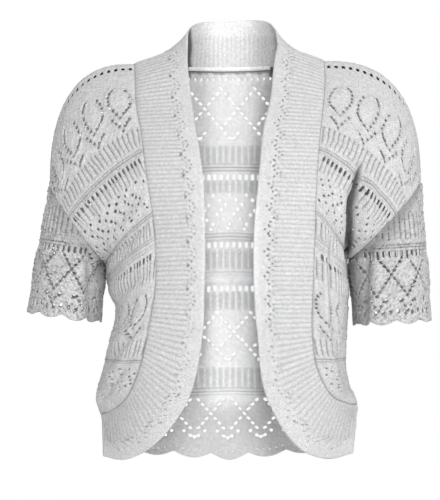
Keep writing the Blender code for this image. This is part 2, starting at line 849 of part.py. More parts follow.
def main():
    clear_scene()
    sheets = make_sheets()
    lines = {}
    shoulder_points = []
    for side in ("left", "right"):
        name = f"front_{side}"
        sheet = sheets[name]
        rows = lace_lines("front", FRONT_LENGTH)
        lines[name] = rows
        shoulder_points += line_points(sheet, rows[0])
        sleeve = f"sleeve_{side}_front"
        lines[sleeve] = lace_lines(
            "sleeve", SLEEVE_LENGTH, hem=CUFF_SCALLOP,
            anchors=sheets[sleeve].beside(0.0, end_points(sheet, rows, 1)),
            inner_anchors=sheets[sleeve].beside(0.0, end_points(sheet, inner_only(rows), 1)),
        )
        band_piece(
            f"band_{side}", sheets[f"band_{side}"], BAND[side].length,
            end_points(sheet, rows, 0), end_points(sheet, inner_only(rows), 0), BAND_COLOUR,
        )
    back = sheets["back"]
    beside = back.beside(0.0, shoulder_points)
    rows = lace_lines(
        "back", BACK_LENGTH, both_ways=True, hem=BACK_SCALLOP,
        anchors=beside, inner_anchors=beside,
    )
    lines["back"] = rows
    for side, end in (("left", 0), ("right", 1)):
        name = f"sleeve_{side}_back"
        lines[name] = lace_lines(
            "sleeve", SLEEVE_LENGTH, hem=CUFF_SCALLOP,
            anchors=sheets[name].beside(0.0, end_points(back, rows, end)),
            inner_anchors=sheets[name].beside(0.0, end_points(back, inner_only(rows), end)),
        )
    for name, piece_lines in lines.items():
        raise_garter(sheets[name], piece_lines)
        cloth(name, sheets[name], piece_lines, LACE_COLOUR)
    neck_points = line_points(back, rows[0])
    band_piece(
        "collar", sheets["collar"], COLLAR.length, neck_points, neck_points, BAND_COLOUR,
    )
    neck_tape(BAND_COLOUR)


main()
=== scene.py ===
# %% [markdown]
# # A knitted lace shrug, filled out as if worn
#
# The real garment is knitted in one soft, dull, pale yarn: a back, two fronts and two short
# sleeves in lace, and one long ribbed band that runs up the fronts and round the neck.
# Cloth is a thin sheet, so each piece is made as a curved sheet with its own chart of
# stitches: the lace holes are cut out, the ribs and ridges are raised, and a thin wall is
# added at the end. Distances are in millimetres until the meshes are made.

import math

import bpy
import numpy as np
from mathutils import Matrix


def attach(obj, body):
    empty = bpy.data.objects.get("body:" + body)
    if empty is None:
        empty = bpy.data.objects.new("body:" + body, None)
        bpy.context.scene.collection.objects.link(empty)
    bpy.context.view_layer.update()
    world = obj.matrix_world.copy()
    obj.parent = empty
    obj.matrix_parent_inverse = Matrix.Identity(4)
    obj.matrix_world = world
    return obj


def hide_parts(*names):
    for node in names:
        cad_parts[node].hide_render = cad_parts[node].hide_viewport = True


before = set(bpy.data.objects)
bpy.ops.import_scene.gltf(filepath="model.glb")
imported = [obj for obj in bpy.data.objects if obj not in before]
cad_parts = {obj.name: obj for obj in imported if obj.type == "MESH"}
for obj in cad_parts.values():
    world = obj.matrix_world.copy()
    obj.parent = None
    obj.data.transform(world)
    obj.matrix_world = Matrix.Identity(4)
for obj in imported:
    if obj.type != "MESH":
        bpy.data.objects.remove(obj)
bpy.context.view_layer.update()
bpy.ops.object.select_all(action="DESELECT")
print("solids in the frame:", len(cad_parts))

# %% [markdown]
# ## The sizes of the garment
#
# The seams are the garment's skeleton. Each one is a short table of places, and every sheet
# is hung between them, so the pieces always meet. First come the sizes that those tables share.
# "Left" is the side at -X.

# %% Main sizes
MM = 0.001

ARM_MIDDLE_Y = -60.0
ARM_HALF_DEPTH = 62.0
ARMHOLE_SAG = 6.0
UNDERARM_EASE = 5.0
CUFF_HALF_DEPTH = 60.0
SLEEVE_LENGTH = 168.0
SHOULDER_ROUNDNESS = 2.6
FRONT_LENGTH = 530.0
LOW_CORNER = {"left": 0.08, "right": 0.045}
BACK_LENGTH = 529.0
BACK_DROP = 0.985
BACK_TOP_FADE = 100.0
BACK_SCALLOP = (4.2, 51.0)
CUFF_SCALLOP = (3.0, 34.0)
BAND_SWELL = 4.0
BAND_END = 45.0
SIDE_SEAM_Y = -66.0
print("lengths of front and back, mm:", FRONT_LENGTH, BACK_LENGTH)

# %% [markdown]
# ## Where the seams run
#
# The band's and the collar's tables hold the seam and the free edge. A sleeve needs only the two
# ends of its armhole and of its cuff, and a side seam is a line of places from arm to hem.

# %% Seam tables
BAND_STATIONS = (
    # seam y, edge y, left seam x, z, left edge x, z, right seam x, z, right edge x, z
    (-48, -60, -126, 2, -55, 24, 124, 6, 62, 27),
    (-73, -84, -124, -20, -55, -2, 124, -20, 57, 0),
    (-100, -114, -122, -52, -50, -47, 121, -52, 52, -45),
    (-126, -142, -115, -89, -44, -88, 116, -89, 42, -88),
    (-150, -165, -108, -138, -36, -137, 111, -138, 37, -137),
    (-158, -175, -95, -236, -32, -233, 107, -236, 29, -233),
    (-155, -172, -96, -295, -33, -295, 105, -295, 30, -295),
    (-149, -165, -103, -337, -35, -347, 104, -344, 34, -347),
    (-136, -148, -115, -390, -55, -436, 111, -393, 46, -429),
    (-112, -124, -133, -432, -105, -498, 133, -432, 92, -499),
    (-92, -98, -147, -446, -135, -513, 148, -439, 124, -512),
    (-67, -67, -166, -455, -164, -512, 164, -443, 159, -508),
)
COLLAR_STATIONS = (
    # seam x, y, z, top edge x, y, z
    (-126, -48, 2, -55, -60, 24),
    (-86, -21, 1, -53, -43, 48),
    (-43, -5, 0, -38, -26, 59),
    (0, 0, 0, 0, -20, 61),
    (43, -5, 1, 42, -26, 62),
    (86, -21, 4, 57, -43, 50),
    (124, -48, 6, 62, -60, 27),
)
SLEEVES = {
    # side: armhole outer x, z, armhole inner x, z, cuff outer x, z, cuff inner x, z
    "left": (-234, -158, -161, -257, -264, -321, -170, -334),
    "right": (248, -153, 153, -253, 262, -332, 163, -338),
}
SIDE_SEAMS = {
    # x, z
    "left": ((-161, -257), (-157, -293), (-146, -322), (-154, -358), (-168, -411),
             (-174, -438), (-168, -456), (-165, -512)),
    "right": ((153, -253), (152, -283), (150, -331), (149, -359), (155, -420),
              (165, -443), (164, -464), (160, -508)),
}
print("stations of band and collar:", len(BAND_STATIONS), len(COLLAR_STATIONS))

# %% [markdown]
# ## How the rows bow
#
# A row goes from the band or the back's middle to the outer border, whose share is 0 at the
# shoulder's end, 1 at the underarm and 2 at the hem. Two numbers say how it bows on its way,
# seen from the front and in depth: 1 is a straight line, 2 an ellipse, and more is squarer.

# %% Row tables
FRONT_ROWS = (
    # distance down the band seam, share, roundness of the row, roundness of the depth
    (0, 0.0, SHOULDER_ROUNDNESS, 1.0),
    (40, 0.11, 2.3, 1.1),
    (90, 0.25, 1.7, 1.2),
    (150, 0.41, 1.2, 1.4),
    (195, 0.62, 1.1, 1.4),
    (222, 0.82, 1.1, 1.5),
    (246, 1.0, 1.1, 1.8),
    (300, 1.16, 1.05, 2.1),
    (367, 1.33, 1.0, 2.1),
    (440, 1.54, 1.0, 2.0),
    (500, 1.65, 1.0, 1.8),
    (532, 1.70, 1.0, 1.5),
)
BACK_ROWS = (
    # distance, depth of the middle line, share, roundness of the row, roundness of the depth
    (0, 0, 0.0, 4.5, 1.0),
    (60, 18, 0.17, 3.3, 1.5),
    (133, 34, 0.41, 2.1, 1.6),
    (180, 36, 0.64, 1.8, 1.6),
    (212, 35, 0.84, 1.6, 1.7),
    (238, 32, 1.0, 1.6, 2.0),
    (300, 20, 1.20, 1.4, 2.3),
    (380, 14, 1.50, 1.3, 2.2),
    (460, 18, 1.79, 1.2, 2.2),
    (536, 24, 2.0, 1.1, 2.1),
)
print("rows in the tables:", len(FRONT_ROWS), len(BACK_ROWS))

# %% [markdown]
# ## What is sewn to what
#
# A list of neighbours is enough: along a shared seam, the cloth of two pieces leans the same way.

# %% Neighbours
NEIGHBOURS = {
    "back": ("front_left", "front_right", "sleeve_left_back", "sleeve_right_back", "collar",
             "band_left", "band_right"),
    "collar": ("back", "band_left", "band_right"),
}
for hand in ("left", "right"):
    NEIGHBOURS[f"front_{hand}"] = ("back", f"band_{hand}", f"sleeve_{hand}_front", "collar")
    NEIGHBOURS[f"band_{hand}"] = (f"front_{hand}", "collar", "back")
    NEIGHBOURS[f"sleeve_{hand}_front"] = (f"front_{hand}", f"sleeve_{hand}_back", "back")
    NEIGHBOURS[f"sleeve_{hand}_back"] = ("back", f"sleeve_{hand}_front", f"front_{hand}")
print("pieces that are sewn together:", len(NEIGHBOURS))

# %% [markdown]
# ## Smooth seam lines
#
# A seam on cloth never has corners, so a curve is passed through each table. The curve is
# read by the distance walked along it, as a tape measure would be laid on the garment.

# %% Smooth lines through tables
def vector(*values):
    return np.array(values, dtype=float)


def smooth(keys, values, at):
    """Values of a table at any key, on a smooth curve."""
    keys = np.asarray(keys, dtype=float)
    values = np.asarray(values, dtype=float)
    slopes = np.gradient(values, keys, axis=0)
    index = int(np.clip(np.searchsorted(keys, at) - 1, 0, len(keys) - 2))
    span = keys[index + 1] - keys[index]
    t = (at - keys[index]) / span
    start_weight = 2 * t ** 3 - 3 * t ** 2 + 1
    start_slope = (t ** 3 - 2 * t ** 2 + t) * span
    end_slope = (t ** 3 - t ** 2) * span
    near = start_weight * values[index] + start_slope * slopes[index]
    far = (1 - start_weight) * values[index + 1] + end_slope * slopes[index + 1]
    return near + far


def step(low, high, values):
    t = np.clip((values - low) / (high - low), 0, 1)
    return t * t * (3 - 2 * t)


def walked(points):
    """The distance along a line of points, at each of them."""
    steps = np.linalg.norm(np.diff(points[:, :3], axis=0), axis=1)
    return np.concatenate([[0.0], np.cumsum(steps)])


def even(points, count):
    """The same line with evenly spaced points."""
    distance = walked(points)
    targets = np.linspace(0.0, distance[-1], count)
    return np.column_stack([np.interp(targets, distance, axis) for axis in points.T])


class Path:
    """A smooth line through stations."""

    def __init__(self, stations, count=240):
        stations = np.asarray(stations, dtype=float)
        keys = walked(stations)
        fine = [smooth(keys, stations, key) for key in np.linspace(0.0, keys[-1], count)]
        self.points = np.array(fine)
        self.distance = walked(self.points)
        self.length = self.distance[-1]

    def at(self, distance):
        return np.array([np.interp(distance, self.distance, axis) for axis in self.points.T])


# %% [markdown]
# ## The seam of the band
#
# On the real garment the ribbed band is one strip. It could be bent out of a long flat plane,
# but its two edges follow different curves, so both are walked together: each station of the
# path holds a place on the seam and the place across from it on the free edge.

# %% The band's and collar's seams
def band_path(side):
    first = 2 if side == "left" else 6
    rows = []
    for row in BAND_STATIONS:
        seam_x, seam_z, edge_x, edge_z = row[first:first + 4]
        rows.append((seam_x, row[0], seam_z, edge_x, row[1], edge_z))
    return Path(rows)


BAND = {side: band_path(side) for side in ("left", "right")}
COLLAR = Path(COLLAR_STATIONS)
print("band seam lengths, mm:", round(BAND["left"].length), round(BAND["right"].length))

# %% [markdown]
# ## Round openings and side seams
#
# An armhole is a slanting oval, and so is a cuff. Each is split at its outer end and under the
# arm, so a front half and a back half can be made as two sheets that share both ends.

# %% Armholes, cuffs and side seams
def ring(ends, half_depth, sag, angle, face):
    """A point on a sleeve's ring: angle 0 is its outer end, pi its inner end."""
    outer_x, outer_z, inner_x, inner_z = ends
    outer = vector(outer_x, ARM_MIDDLE_Y, outer_z)
    inner = vector(inner_x, ARM_MIDDLE_Y, inner_z)
    middle = (outer + inner) / 2
    reach = (outer - inner) / 2
    deep = vector(0, face * half_depth, -sag)
    return middle + math.cos(angle) * reach + math.sin(angle) * deep


def armhole(side, share, face, ease=0.0):
    outward = -1 if side == "left" else 1
    angle = math.pi * share
    near_underarm = ((1 - math.cos(angle)) / 2) ** 4
    point = ring(SLEEVES[side][:4], ARM_HALF_DEPTH, ARMHOLE_SAG, angle, face)
    return point + vector(outward * ease * near_underarm, 0, 0)


def cuff(side, share, face):
    return ring(SLEEVES[side][4:], CUFF_HALF_DEPTH, 0.0, math.pi * share, face)


def side_seam_path(side):
    stations = [(x, SIDE_SEAM_Y, z) for x, z in SIDE_SEAMS[side]]
    stations[0] = tuple(armhole(side, 1.0, -1))
    return Path(stations)


SIDE = {side: side_seam_path(side) for side in ("left", "right")}


def outer_line(side, share, face):
    """The outer border of a front or of half the back."""
    if share <= 1.0:
        return armhole(side, max(share, 0.0), face)
    return SIDE[side].at((share - 1.0) * SIDE[side].length)


print("side seam lengths, mm:", round(SIDE["left"].length), round(SIDE["right"].length))

# %% [markdown]
# ## Rows of knitting
#
# A knitted sheet grows row by row, so its form is a stack of rows. Each row starts at one
# seam and ends at another, and bows out over the shoulder or round the body on its way.

# %% Rows of fronts and back
def cross_row(start, end, roundness, depth_roundness, count=72):
    tau = np.linspace(0.0, math.pi / 2, 4 * count)
    across = np.sin(tau) ** (2 / roundness)
    fall = 1 - np.cos(tau) ** (2 / roundness)
    x = start[0] + (end[0] - start[0]) * across
    z = start[2] + (end[2] - start[2]) * fall
    progress = walked(np.column_stack([x, np.zeros_like(x), z]))
    progress = progress / progress[-1]
    rounded = (1 - np.clip(progress, 0, 1) ** depth_roundness) ** (1 / depth_roundness)
    y = end[1] + (start[1] - end[1]) * rounded
    return even(np.column_stack([x, y, z]), count)


def table_at(table, key):
    return smooth([row[0] for row in table], [row[1:] for row in table], key)


def front_row(side, distance):
    share, roundness, depth_roundness = table_at(FRONT_ROWS, distance)
    share += LOW_CORNER[side] * step(500.0, FRONT_LENGTH, distance)
    start = BAND[side].at(distance * BAND[side].length / BAND["left"].length)[:3]
    return cross_row(start, outer_line(side, share, -1), roundness, depth_roundness)


def neck_row(side):
    half = len(COLLAR.points) // 2
    if side == "left":
        return COLLAR.points[half::-1, :3]
    return COLLAR.points[half:, :3]


def back_half_row(side, distance, count=96):

    def plain(at):
        middle_y, share, roundness, depth_roundness = table_at(BACK_ROWS, at)
        start = vector(0, middle_y, -at * BACK_DROP)
        return cross_row(start, outer_line(side, share, 1), roundness, depth_roundness, count)

    top_seam = even(np.vstack([neck_row(side), front_row(side, 0.0)[1:]]), count)
    fade = max(0.0, 1 - distance / BACK_TOP_FADE) ** 2
    return plain(distance) + (top_seam - plain(0.0)) * fade


def back_row(distance):
    left = back_half_row("left", distance)
    right = back_half_row("right", distance)
    return np.vstack([left[::-1], right[1:]])


# %% [markdown]
# ## Rows of the sleeves and the band
#
# A sleeve's rows run parallel to its cuff, so its first rows are short arcs over the shoulder,
# and it grows wider until it meets the underarm. The band's rows run along its whole length.

# %% Rows of tubes and strips
def sleeve_slants(side, face, shares):
    """Lines down half a sleeve: their tops on the armhole, their ends on the cuff."""
    tops = np.array([armhole(side, share, face, UNDERARM_EASE) for share in shares])
    ends = np.array([cuff(side, share, face) for share in shares])
    return tops, ends, np.linalg.norm(ends - tops, axis=1)


def sleeve_row(side, face, distance, count=72):
    """A row parallel to the cuff. High rows end where the slanting armhole cuts them off."""
    above = SLEEVE_LENGTH - distance
    shares = np.linspace(0.0, 1.0, 60)
    lengths = sleeve_slants(side, face, shares)[2]
    last = 1.0 if above <= lengths[-1] else float(np.interp(-above, -lengths, shares))
    tops, ends, lengths = sleeve_slants(side, face, np.linspace(0.0, last, count))
    return even(ends + (tops - ends) * (above / lengths)[:, None], count)


def sleeve_top(side):
    """The first row of a sleeve, just under the highest point of its armhole."""
    tops, ends, lengths = sleeve_slants(side, 1, (0.0,))
    return SLEEVE_LENGTH - float(lengths[0]) + 0.4


def strip_row(path, share, count, swell, outward):
    seam = path.points[:, :3]
    edge = path.points[:, 3:]
    from_end = path.distance - path.length
    flat_ends = step(0.0, BAND_END, path.distance) * (1 - step(-BAND_END, 0.0, from_end))
    bow = 4 * share * (1 - share) * swell * flat_ends
    line = seam + (edge - seam) * share + outward * bow[:, None]
    targets = np.linspace(0.0, path.length, count)
    return np.column_stack([np.interp(targets, path.distance, axis) for axis in line.T])


# %% [markdown]
# ## The form under the stitches
#
# A form keeps the rows of one piece as a net of points and, at each point, the way out of
# the garment. Where two pieces are sewn together their ways out are averaged, so that the
# walls meet edge to edge instead of leaning apart.

# %% A form made of rows
class Form:
    """A curved sheet: a is the distance along a row and b the distance down the rows."""

    def __init__(self, row, last, centre, first=0.0, middle_zero=False, count=110):
        self.levels = np.linspace(first, last, count)
        self.net = np.array([row(level) for level in self.levels])
        normal = np.cross(np.gradient(self.net, axis=1), np.gradient(self.net, axis=0))
        normal /= np.linalg.norm(normal, axis=2, keepdims=True) + 1e-12
        away = self.net - np.asarray(centre)
        away[:, :, 2] *= 0.3
        if np.mean(np.sum(normal * away, axis=2)) < 0:
            normal = -normal
        self.normal = normal
        self.across = np.array([walked(line) for line in self.net])
        if middle_zero:
            middle = self.net.shape[1] // 2
            self.across -= self.across[:, middle:middle + 1]

    def square_up(self, reference, until, share):
        """Lean the columns towards crossing the rows squarely, down to the row at until."""
        walked_rows = self.across.copy()
        start = int(np.argmin(np.abs(self.levels - reference)))
        last = int(np.argmin(np.abs(self.levels - until)))
        for step_way, end in ((1, last), (-1, 0)):
            for j in range(start, end, step_way):
                self.across[j + step_way] = self.follow(j, j + step_way)
        squareness = share * step(85.0, 125.0, self.levels[:last + 1])[:, None]
        turned = self.across[:last + 1] - walked_rows[:last + 1]
        self.across[:last + 1] = walked_rows[:last + 1] + turned * squareness
        moved = self.across[last] - walked_rows[last]
        for j in range(last + 1, len(self.levels)):
            shorter = walked_rows[j, -1] / walked_rows[last, -1]
            self.across[j] = walked_rows[j] + moved * shorter

    def follow(self, j, other):
        """The a of each point of the other row, by the nearest points from row j."""
        line = self.net[other]
        distance = walked(line)
        gaps = np.linalg.norm(self.net[j][:, None, :] - line[None, :, :], axis=2)
        nearest = np.argmin(gaps, axis=1)
        inner = (nearest > 0) & (nearest < len(line) - 1)
        inner &= np.concatenate([[True], np.diff(nearest) > 0])
        known = distance[nearest[inner]]
        a = self.across[j][inner]
        fitted = np.interp(distance, known, a)
        fitted += np.minimum(distance - known[0], 0.0) + np.maximum(distance - known[-1], 0.0)
        return fitted

    def borders(self):
        rows, columns = self.net.shape[:2]
        top = [(0, k) for k in range(columns)] + [(rows - 1, k) for k in range(columns)]
        return top + [(k, 0) for k in range(rows)] + [(k, columns - 1) for k in range(rows)]

    def row(self, b):
        """Distances, points and ways out along the row at b."""
        place = np.interp(b, self.levels, np.arange(len(self.levels)))
        index = min(int(place), len(self.levels) - 2)
        t = place - index
        nets = (self.across, self.net, self.normal)
        return [net[index] * (1 - t) + net[index + 1] * t for net in nets]


def lean_together(forms, reach=3.0):
    """Average the ways out of the borders that are sewn together."""
    borders = {}
    for name, form in forms.items():
        index = tuple(np.array(form.borders()).T)
        borders[name] = (index, form.net[index], form.normal[index].copy())
    for name, (index, places, ways) in borders.items():
        total = ways.copy()
        for other in NEIGHBOURS[name]:
            _, other_places, other_ways = borders[other]
            for k, place in enumerate(places):
                apart = np.linalg.norm(other_places - place, axis=1)
                nearest = int(np.argmin(apart))
                if apart[nearest] < reach:
                    total[k] += other_ways[nearest]
        forms[name].normal[index] = total / np.linalg.norm(total, axis=1, keepdims=True)


# %% [markdown]
# ## The forms of all pieces
#
# The band swells a little between its edges, as thick ribbing does, but lies flat at its ends,
# where it is sewn to the collar and to the back. Body, sleeves, band and collar are then made
# from the same seams, so no piece needs to be fitted to another by hand.

# %% All forms
def band_form(path, centre, outward):
    """The band's form: a runs along its length and b across its width, in mm."""
    count = max(120, int(path.length / 3))
    width = np.mean(np.linalg.norm(path.points[:, 3:] - path.points[:, :3], axis=1))
    return Form(
        lambda b: strip_row(path, b / width, count, BAND_SWELL, outward),
        width, centre, count=25,
    )


DIAMOND_ROW = 95.0


def make_forms():
    torso = (0, ARM_MIDDLE_Y, -250)
    forward = vector(0, -1, 0)
    forms = {}
    for side in ("left", "right"):
        forms[f"front_{side}"] = Form(lambda b: front_row(side, b), FRONT_LENGTH + 2.0, torso)
        forms[f"front_{side}"].square_up(DIAMOND_ROW, 215.0, 0.65)
        forms[f"band_{side}"] = band_form(BAND[side], torso, forward)
        arm_x = (SLEEVES[side][0] + SLEEVES[side][6]) / 2
        for face, place in ((-1, "front"), (1, "back")):
            forms[f"sleeve_{side}_{place}"] = Form(
                lambda b: sleeve_row(side, face, b), SLEEVE_LENGTH + 6.0,
                (arm_x, ARM_MIDDLE_Y, -250), first=sleeve_top(side),
            )
    forms["back"] = Form(back_row, BACK_LENGTH + 7.0, torso, middle_zero=True)
    forms["collar"] = band_form(COLLAR, (0, ARM_MIDDLE_Y, 20), 0 * forward)
    lean_together(forms)
    return forms


FORMS = make_forms()
for name, form in sorted(FORMS.items()):
    print(name, "rows up to", round(float(np.max(np.ptp(form.across, axis=1)))), "mm long")

# %% [markdown]
# ## Laying stitches on a form
#
# The lace could be drawn with a see-through material, but real lace has thickness and casts
# small shadows in its holes. So the sheet is a net of small cells: a hole leaves out a few
# cells and pulls the edge round, which is cheap, and the mesh itself then shows the lace.

# %% A net of stitches
class Knit:
    """Cells of one piece: distances a and b, and which cells are left out as holes."""

    def __init__(self, form, wale, course, first, last, aside=0.0):
        self.aside = aside
        self.wale = wale
        self.course = (last - first) / round((last - first) / course)
        self.rows = first + self.course * np.arange(round((last - first) / self.course) + 1)
        lines = [form.row(b) for b in self.rows]
        low = np.array([line[0][0] for line in lines])
        high = np.array([line[0][-1] for line in lines])
        self.base = int(np.floor(low.min() / wale))
        columns = np.arange(self.base, int(np.ceil(high.max() / wale)) + 1)
        self.start = np.ceil(low / wale + 0.35).astype(int) - 1 - self.base
        self.end = np.floor(high / wale - 0.35).astype(int) + 1 - self.base
        grid_a = np.clip(columns[None, :] * wale, low[:, None], high[:, None])
        for j in range(len(self.rows)):
            grid_a[j, :self.start[j] + 1] = low[j]
            grid_a[j, self.end[j]:] = high[j]
        self.a = grid_a
        self.b = np.repeat(self.rows[:, None], len(columns), axis=1)
        self.low = low
        self.high = high
        self.points = np.empty(self.a.shape + (3,))
        self.ways = np.empty(self.a.shape + (3,))
        self.share = np.empty(self.a.shape)
        self.across = [line[0] for line in lines]
        for j, (across, net, normal) in enumerate(lines):
            self.share[j] = np.interp(self.a[j], across, np.linspace(0.0, 1.0, len(across)))
            for axis in range(3):
                self.points[j, :, axis] = np.interp(self.a[j], across, net[:, axis])
                self.ways[j, :, axis] = np.interp(self.a[j], across, normal[:, axis])
        self.ways /= np.linalg.norm(self.ways, axis=2, keepdims=True)
        self.kept = np.ones((len(self.rows) - 1, len(columns) - 1), dtype=bool)
        self.shift_a = np.zeros(self.a.shape)
        self.shift_b = np.zeros(self.a.shape)

    def hole(self, a, b, columns, rows, half_a, half_b, corner=2.0, lean=0.0):
        """Leave out columns by rows of cells round (a, b), and round the edge."""
        k0 = math.floor((a + self.aside) / self.wale - columns / 2 + 0.51) - self.base
        j0 = math.floor((b - self.rows[0]) / self.course - rows / 2 + 0.51)
        k1 = k0 + columns
        j1 = j0 + rows
        if j0 < 1 or j1 > len(self.rows) - 2 or k0 < 1 or k1 > self.a.shape[1] - 2:
            return
        if k0 < self.start[j0:j1 + 1].max() + 2 or k1 > self.end[j0:j1 + 1].min() - 2:
            return
        self.kept[j0:j1, k0:k1] = False
        middle_k = (k0 + k1) / 2
        middle_j = (j0 + j1) / 2
        for j in range(j0, j1 + 1):
            for k in range(k0, k1 + 1):
                if j in (j0, j1) or k in (k0, k1):
                    x = (k - middle_k) * self.wale
                    y = (j - middle_j) * self.course
                    size = (abs(x / half_a) ** corner + abs(y / half_b) ** corner) ** (1 / corner)
                    self.shift_a[j, k] = x / size - x + lean * y / size
                    self.shift_b[j, k] = y / size - y

    def at_share(self, share, b):
        """The distance along the row at b of a share of the first seam."""
        across = self.across[int(np.argmin(np.abs(self.rows - b)))]
        return float(np.interp(share, np.linspace(0.0, 1.0, len(across)), across))

    def border(self):
        """Distance of each point from the piece's side borders."""
        return np.minimum(self.a - self.low[:, None], self.high[:, None] - self.a)


# %% [markdown]
# ## From cells to cloth
#
# The cells that are left become faces. Their corners are moved along the cloth, to round the
# holes and to let the hem hang, and lifted off it, to raise the ribs.

# %% Places and faces of the cells
MIDDLE = 1.2


def stitch_places(knit, lift, drop):
    """Where each point of the net ends up: moved for holes and hem, and lifted."""
    tangent_a = np.zeros(knit.points.shape)
    steps = knit.a[:, 2:] - knit.a[:, :-2]
    moved = knit.points[:, 2:] - knit.points[:, :-2]
    tangent_a[:, 1:-1] = moved / np.maximum(steps, 0.5 * knit.wale)[:, :, None]
    tangent_b = np.gradient(knit.points, axis=0) / knit.course
    return (
        knit.points
        + tangent_a * knit.shift_a[:, :, None]
        + tangent_b * (knit.shift_b + drop)[:, :, None]
        + knit.ways * (MIDDLE + lift)[:, :, None]
    )


def kept_faces(knit):
    """The faces of the cells that are left, and which points of the net they use."""
    count_rows, count_columns = knit.a.shape
    column = np.arange(count_columns)[None, :].repeat(count_rows, axis=0)
    column = np.clip(column, knit.start[:, None], knit.end[:, None])
    index = np.arange(count_rows)[:, None] * count_columns + column
    quads = np.stack(
        [index[:-1, :-1], index[1:, :-1], index[1:, 1:], index[:-1, 1:]], axis=2
    )[knit.kept]
    faces = []
    for quad in quads.tolist():
        corners = [v for n, v in enumerate(quad) if v != quad[n - 1]]
        if len(corners) > 2:
            faces.append(corners)
    used = np.unique(np.concatenate(faces))
    new_index = np.full(count_rows * count_columns, -1)
    new_index[used] = np.arange(len(used))
    return [[int(new_index[v]) for v in face] for face in faces], used


# %% [markdown]
# ## A wall for each sheet
#
# Knitting is about a millimetre and a half thick. The map of distances goes into the mesh before
# it gets its wall, so both sides carry the same stitches, one behind the other. A Solidify
# modifier makes the wall and is applied at once, so that the outer and the inner side can have
# their own painted shade: cloth that is folded or covered on one side is shaded there and often
# plain on the other.

# %% A sheet with a wall
WALL = 1.6


def flat_mesh(name, vertices, faces, ways, measured):
    """The sheet before it has a wall, facing outwards, with its distances as a map."""
    mesh = bpy.data.meshes.new(name)
    mesh.from_pydata(vertices.tolist(), [], faces)
    first = faces[len(faces) // 2]
    flat = np.cross(vertices[first[1]] - vertices[first[0]], vertices[first[2]] - vertices[first[0]])
    if np.dot(flat, ways[first[0]]) < 0:
        mesh.flip_normals()
    layer = mesh.uv_layers.new(name="stitches")
    loops = np.empty(len(mesh.loops), dtype=np.int32)
    mesh.loops.foreach_get("vertex_index", loops)
    layer.data.foreach_set("uv", (measured[loops] * MM).ravel())
    # This attribute holds painted shade, with a random speckle of the yarn's tone on the lace.
    mesh.attributes.new("groove", "FLOAT", "POINT")
    return mesh


def new_piece(name, mesh):
    """An object for a mesh, alone selected, so that the next operator acts on it only."""
    piece = bpy.data.objects.new(name, mesh)
    bpy.context.scene.collection.objects.link(piece)
    bpy.ops.object.select_all(action="DESELECT")
    piece.select_set(True)
    bpy.context.view_layer.objects.active = piece
    return piece


def knit_mesh(name, knit, lift, drop, groove, inner):
    """The finished piece: moved cells, a thin wall, and painted shade for its two sides."""
    faces, used = kept_faces(knit)
    vertices = stitch_places(knit, lift, drop).reshape(-1, 3)[used] * MM
    ways = knit.ways.reshape(-1, 3)[used]
    measured = np.column_stack([
        (knit.a + knit.shift_a).ravel()[used], (knit.b + knit.shift_b).ravel()[used],
    ])
    piece = new_piece(name, flat_mesh(name, vertices, faces, ways, measured))
    bpy.ops.object.modifier_add(type="SOLIDIFY")
    wall = piece.modifiers[-1]
    wall.thickness = WALL * MM
    wall.offset = 0.0
    bpy.ops.object.modifier_apply(modifier=wall.name)
    bpy.ops.object.shade_smooth()
    piece.select_set(False)
    placed = np.empty(len(vertices) * 6)
    piece.data.vertices.foreach_get("co", placed)
    # Painted shade: the outer side takes one map, the inner side the other.
    out = np.sum((placed.reshape(2, -1, 3) - vertices) * ways, axis=2) > 0
    depth = np.where(out, groove.ravel()[used], inner.ravel()[used])
    piece.data.attributes["groove"].data.foreach_set("value", depth.ravel().astype(np.float32))
    triangles = sum(len(face.vertices) - 2 for face in piece.data.polygons)
    print(name, "triangles:", triangles)
    return piece


# %% [markdown]
# ## The lace chart
#
# A lace knitter reads a chart of zones: diamonds of eyelets, ribs, garter ridges, rows of
# long slots and small zigzags. The zones repeat down the garment, so each kind is one
# function, and a table says where each piece has them.

# %% Crossing lines of eyelets
def crossing_lines(steps, nested=False):
    """Lines of eyelets that cross and then meet in a V, and maybe a second V under it."""
    lines = [(1 - steps, steps, 1, 0, 0), (1 - steps, -1, -1, 0, 0), (1, steps - 1, -1, 0, 0)]
    if nested:
        lines += [(steps - 2, steps, 1, 0, 3.3), (steps - 2, steps - 1, -1, 0, 3.3)]
    return lines


LINES = {
    # first step, last step, way, columns aside, rows down
    "long": crossing_lines(5),
    "double": crossing_lines(5, nested=True),
    "crossed": ((-4, 6, 1, 0, 0), (-3, -1, -1, 0, 0), (1, 3, -1, 0, 0), (5, 6, -1, 13, 0)),
    "hem": ((-3, 3, 1, 0, 0), (-3, -1, -1, 0, 0), (1, 3, -1, 0, 0)),
}


def repeats(knit, period):
    """Numbers of the repeats that fit on a piece."""
    reach = int(max(-knit.low.min(), knit.high.max()) / period) + 2
    return range(-reach, reach + 1)


def cut_lines(knit, crossing, period, size, kind, row, shift):
    slant = 2 * knit.wale
    for n in repeats(knit, period):
        for first, last, way, aside, down in LINES[kind]:
            for k in range(first, last + 1):
                a = n * period + (way * k + aside) * slant + shift
                b = crossing + (k + down) * row
                knit.hole(a, b, *size, lean=way * 0.45)


# %% [markdown]
# ## Leaves of eyelets
#
# On the fronts the eyelets go round single leaves. They could be cut along the rows, but the
# rows sink to the arm there and the leaves would lean over, so each is drawn upright instead.

# %% Leaves
LEAF_HEIGHT = 54.0
LEAF_STEP = 5.4
LEAF_WIDTHS = {-1: 17.0, 1: 13.0}
SECOND_V = 18.0


def leaf_width(up, width):
    """Half the width of a leaf at a height over its tip, and of the second V below it."""
    over = width * np.sin(np.clip(up / LEAF_HEIGHT, 0.0, 1.0) * math.pi)
    under = 0.8 * np.clip(up + SECOND_V, 0.0, 15.0)
    return np.where(up >= 0.0, over, under)


def leaf_slant(number, upright):
    """How far the rows sink per millimetre at a leaf: more, the nearer it is to the arm."""
    return (0.28 + 0.2 * number) * upright


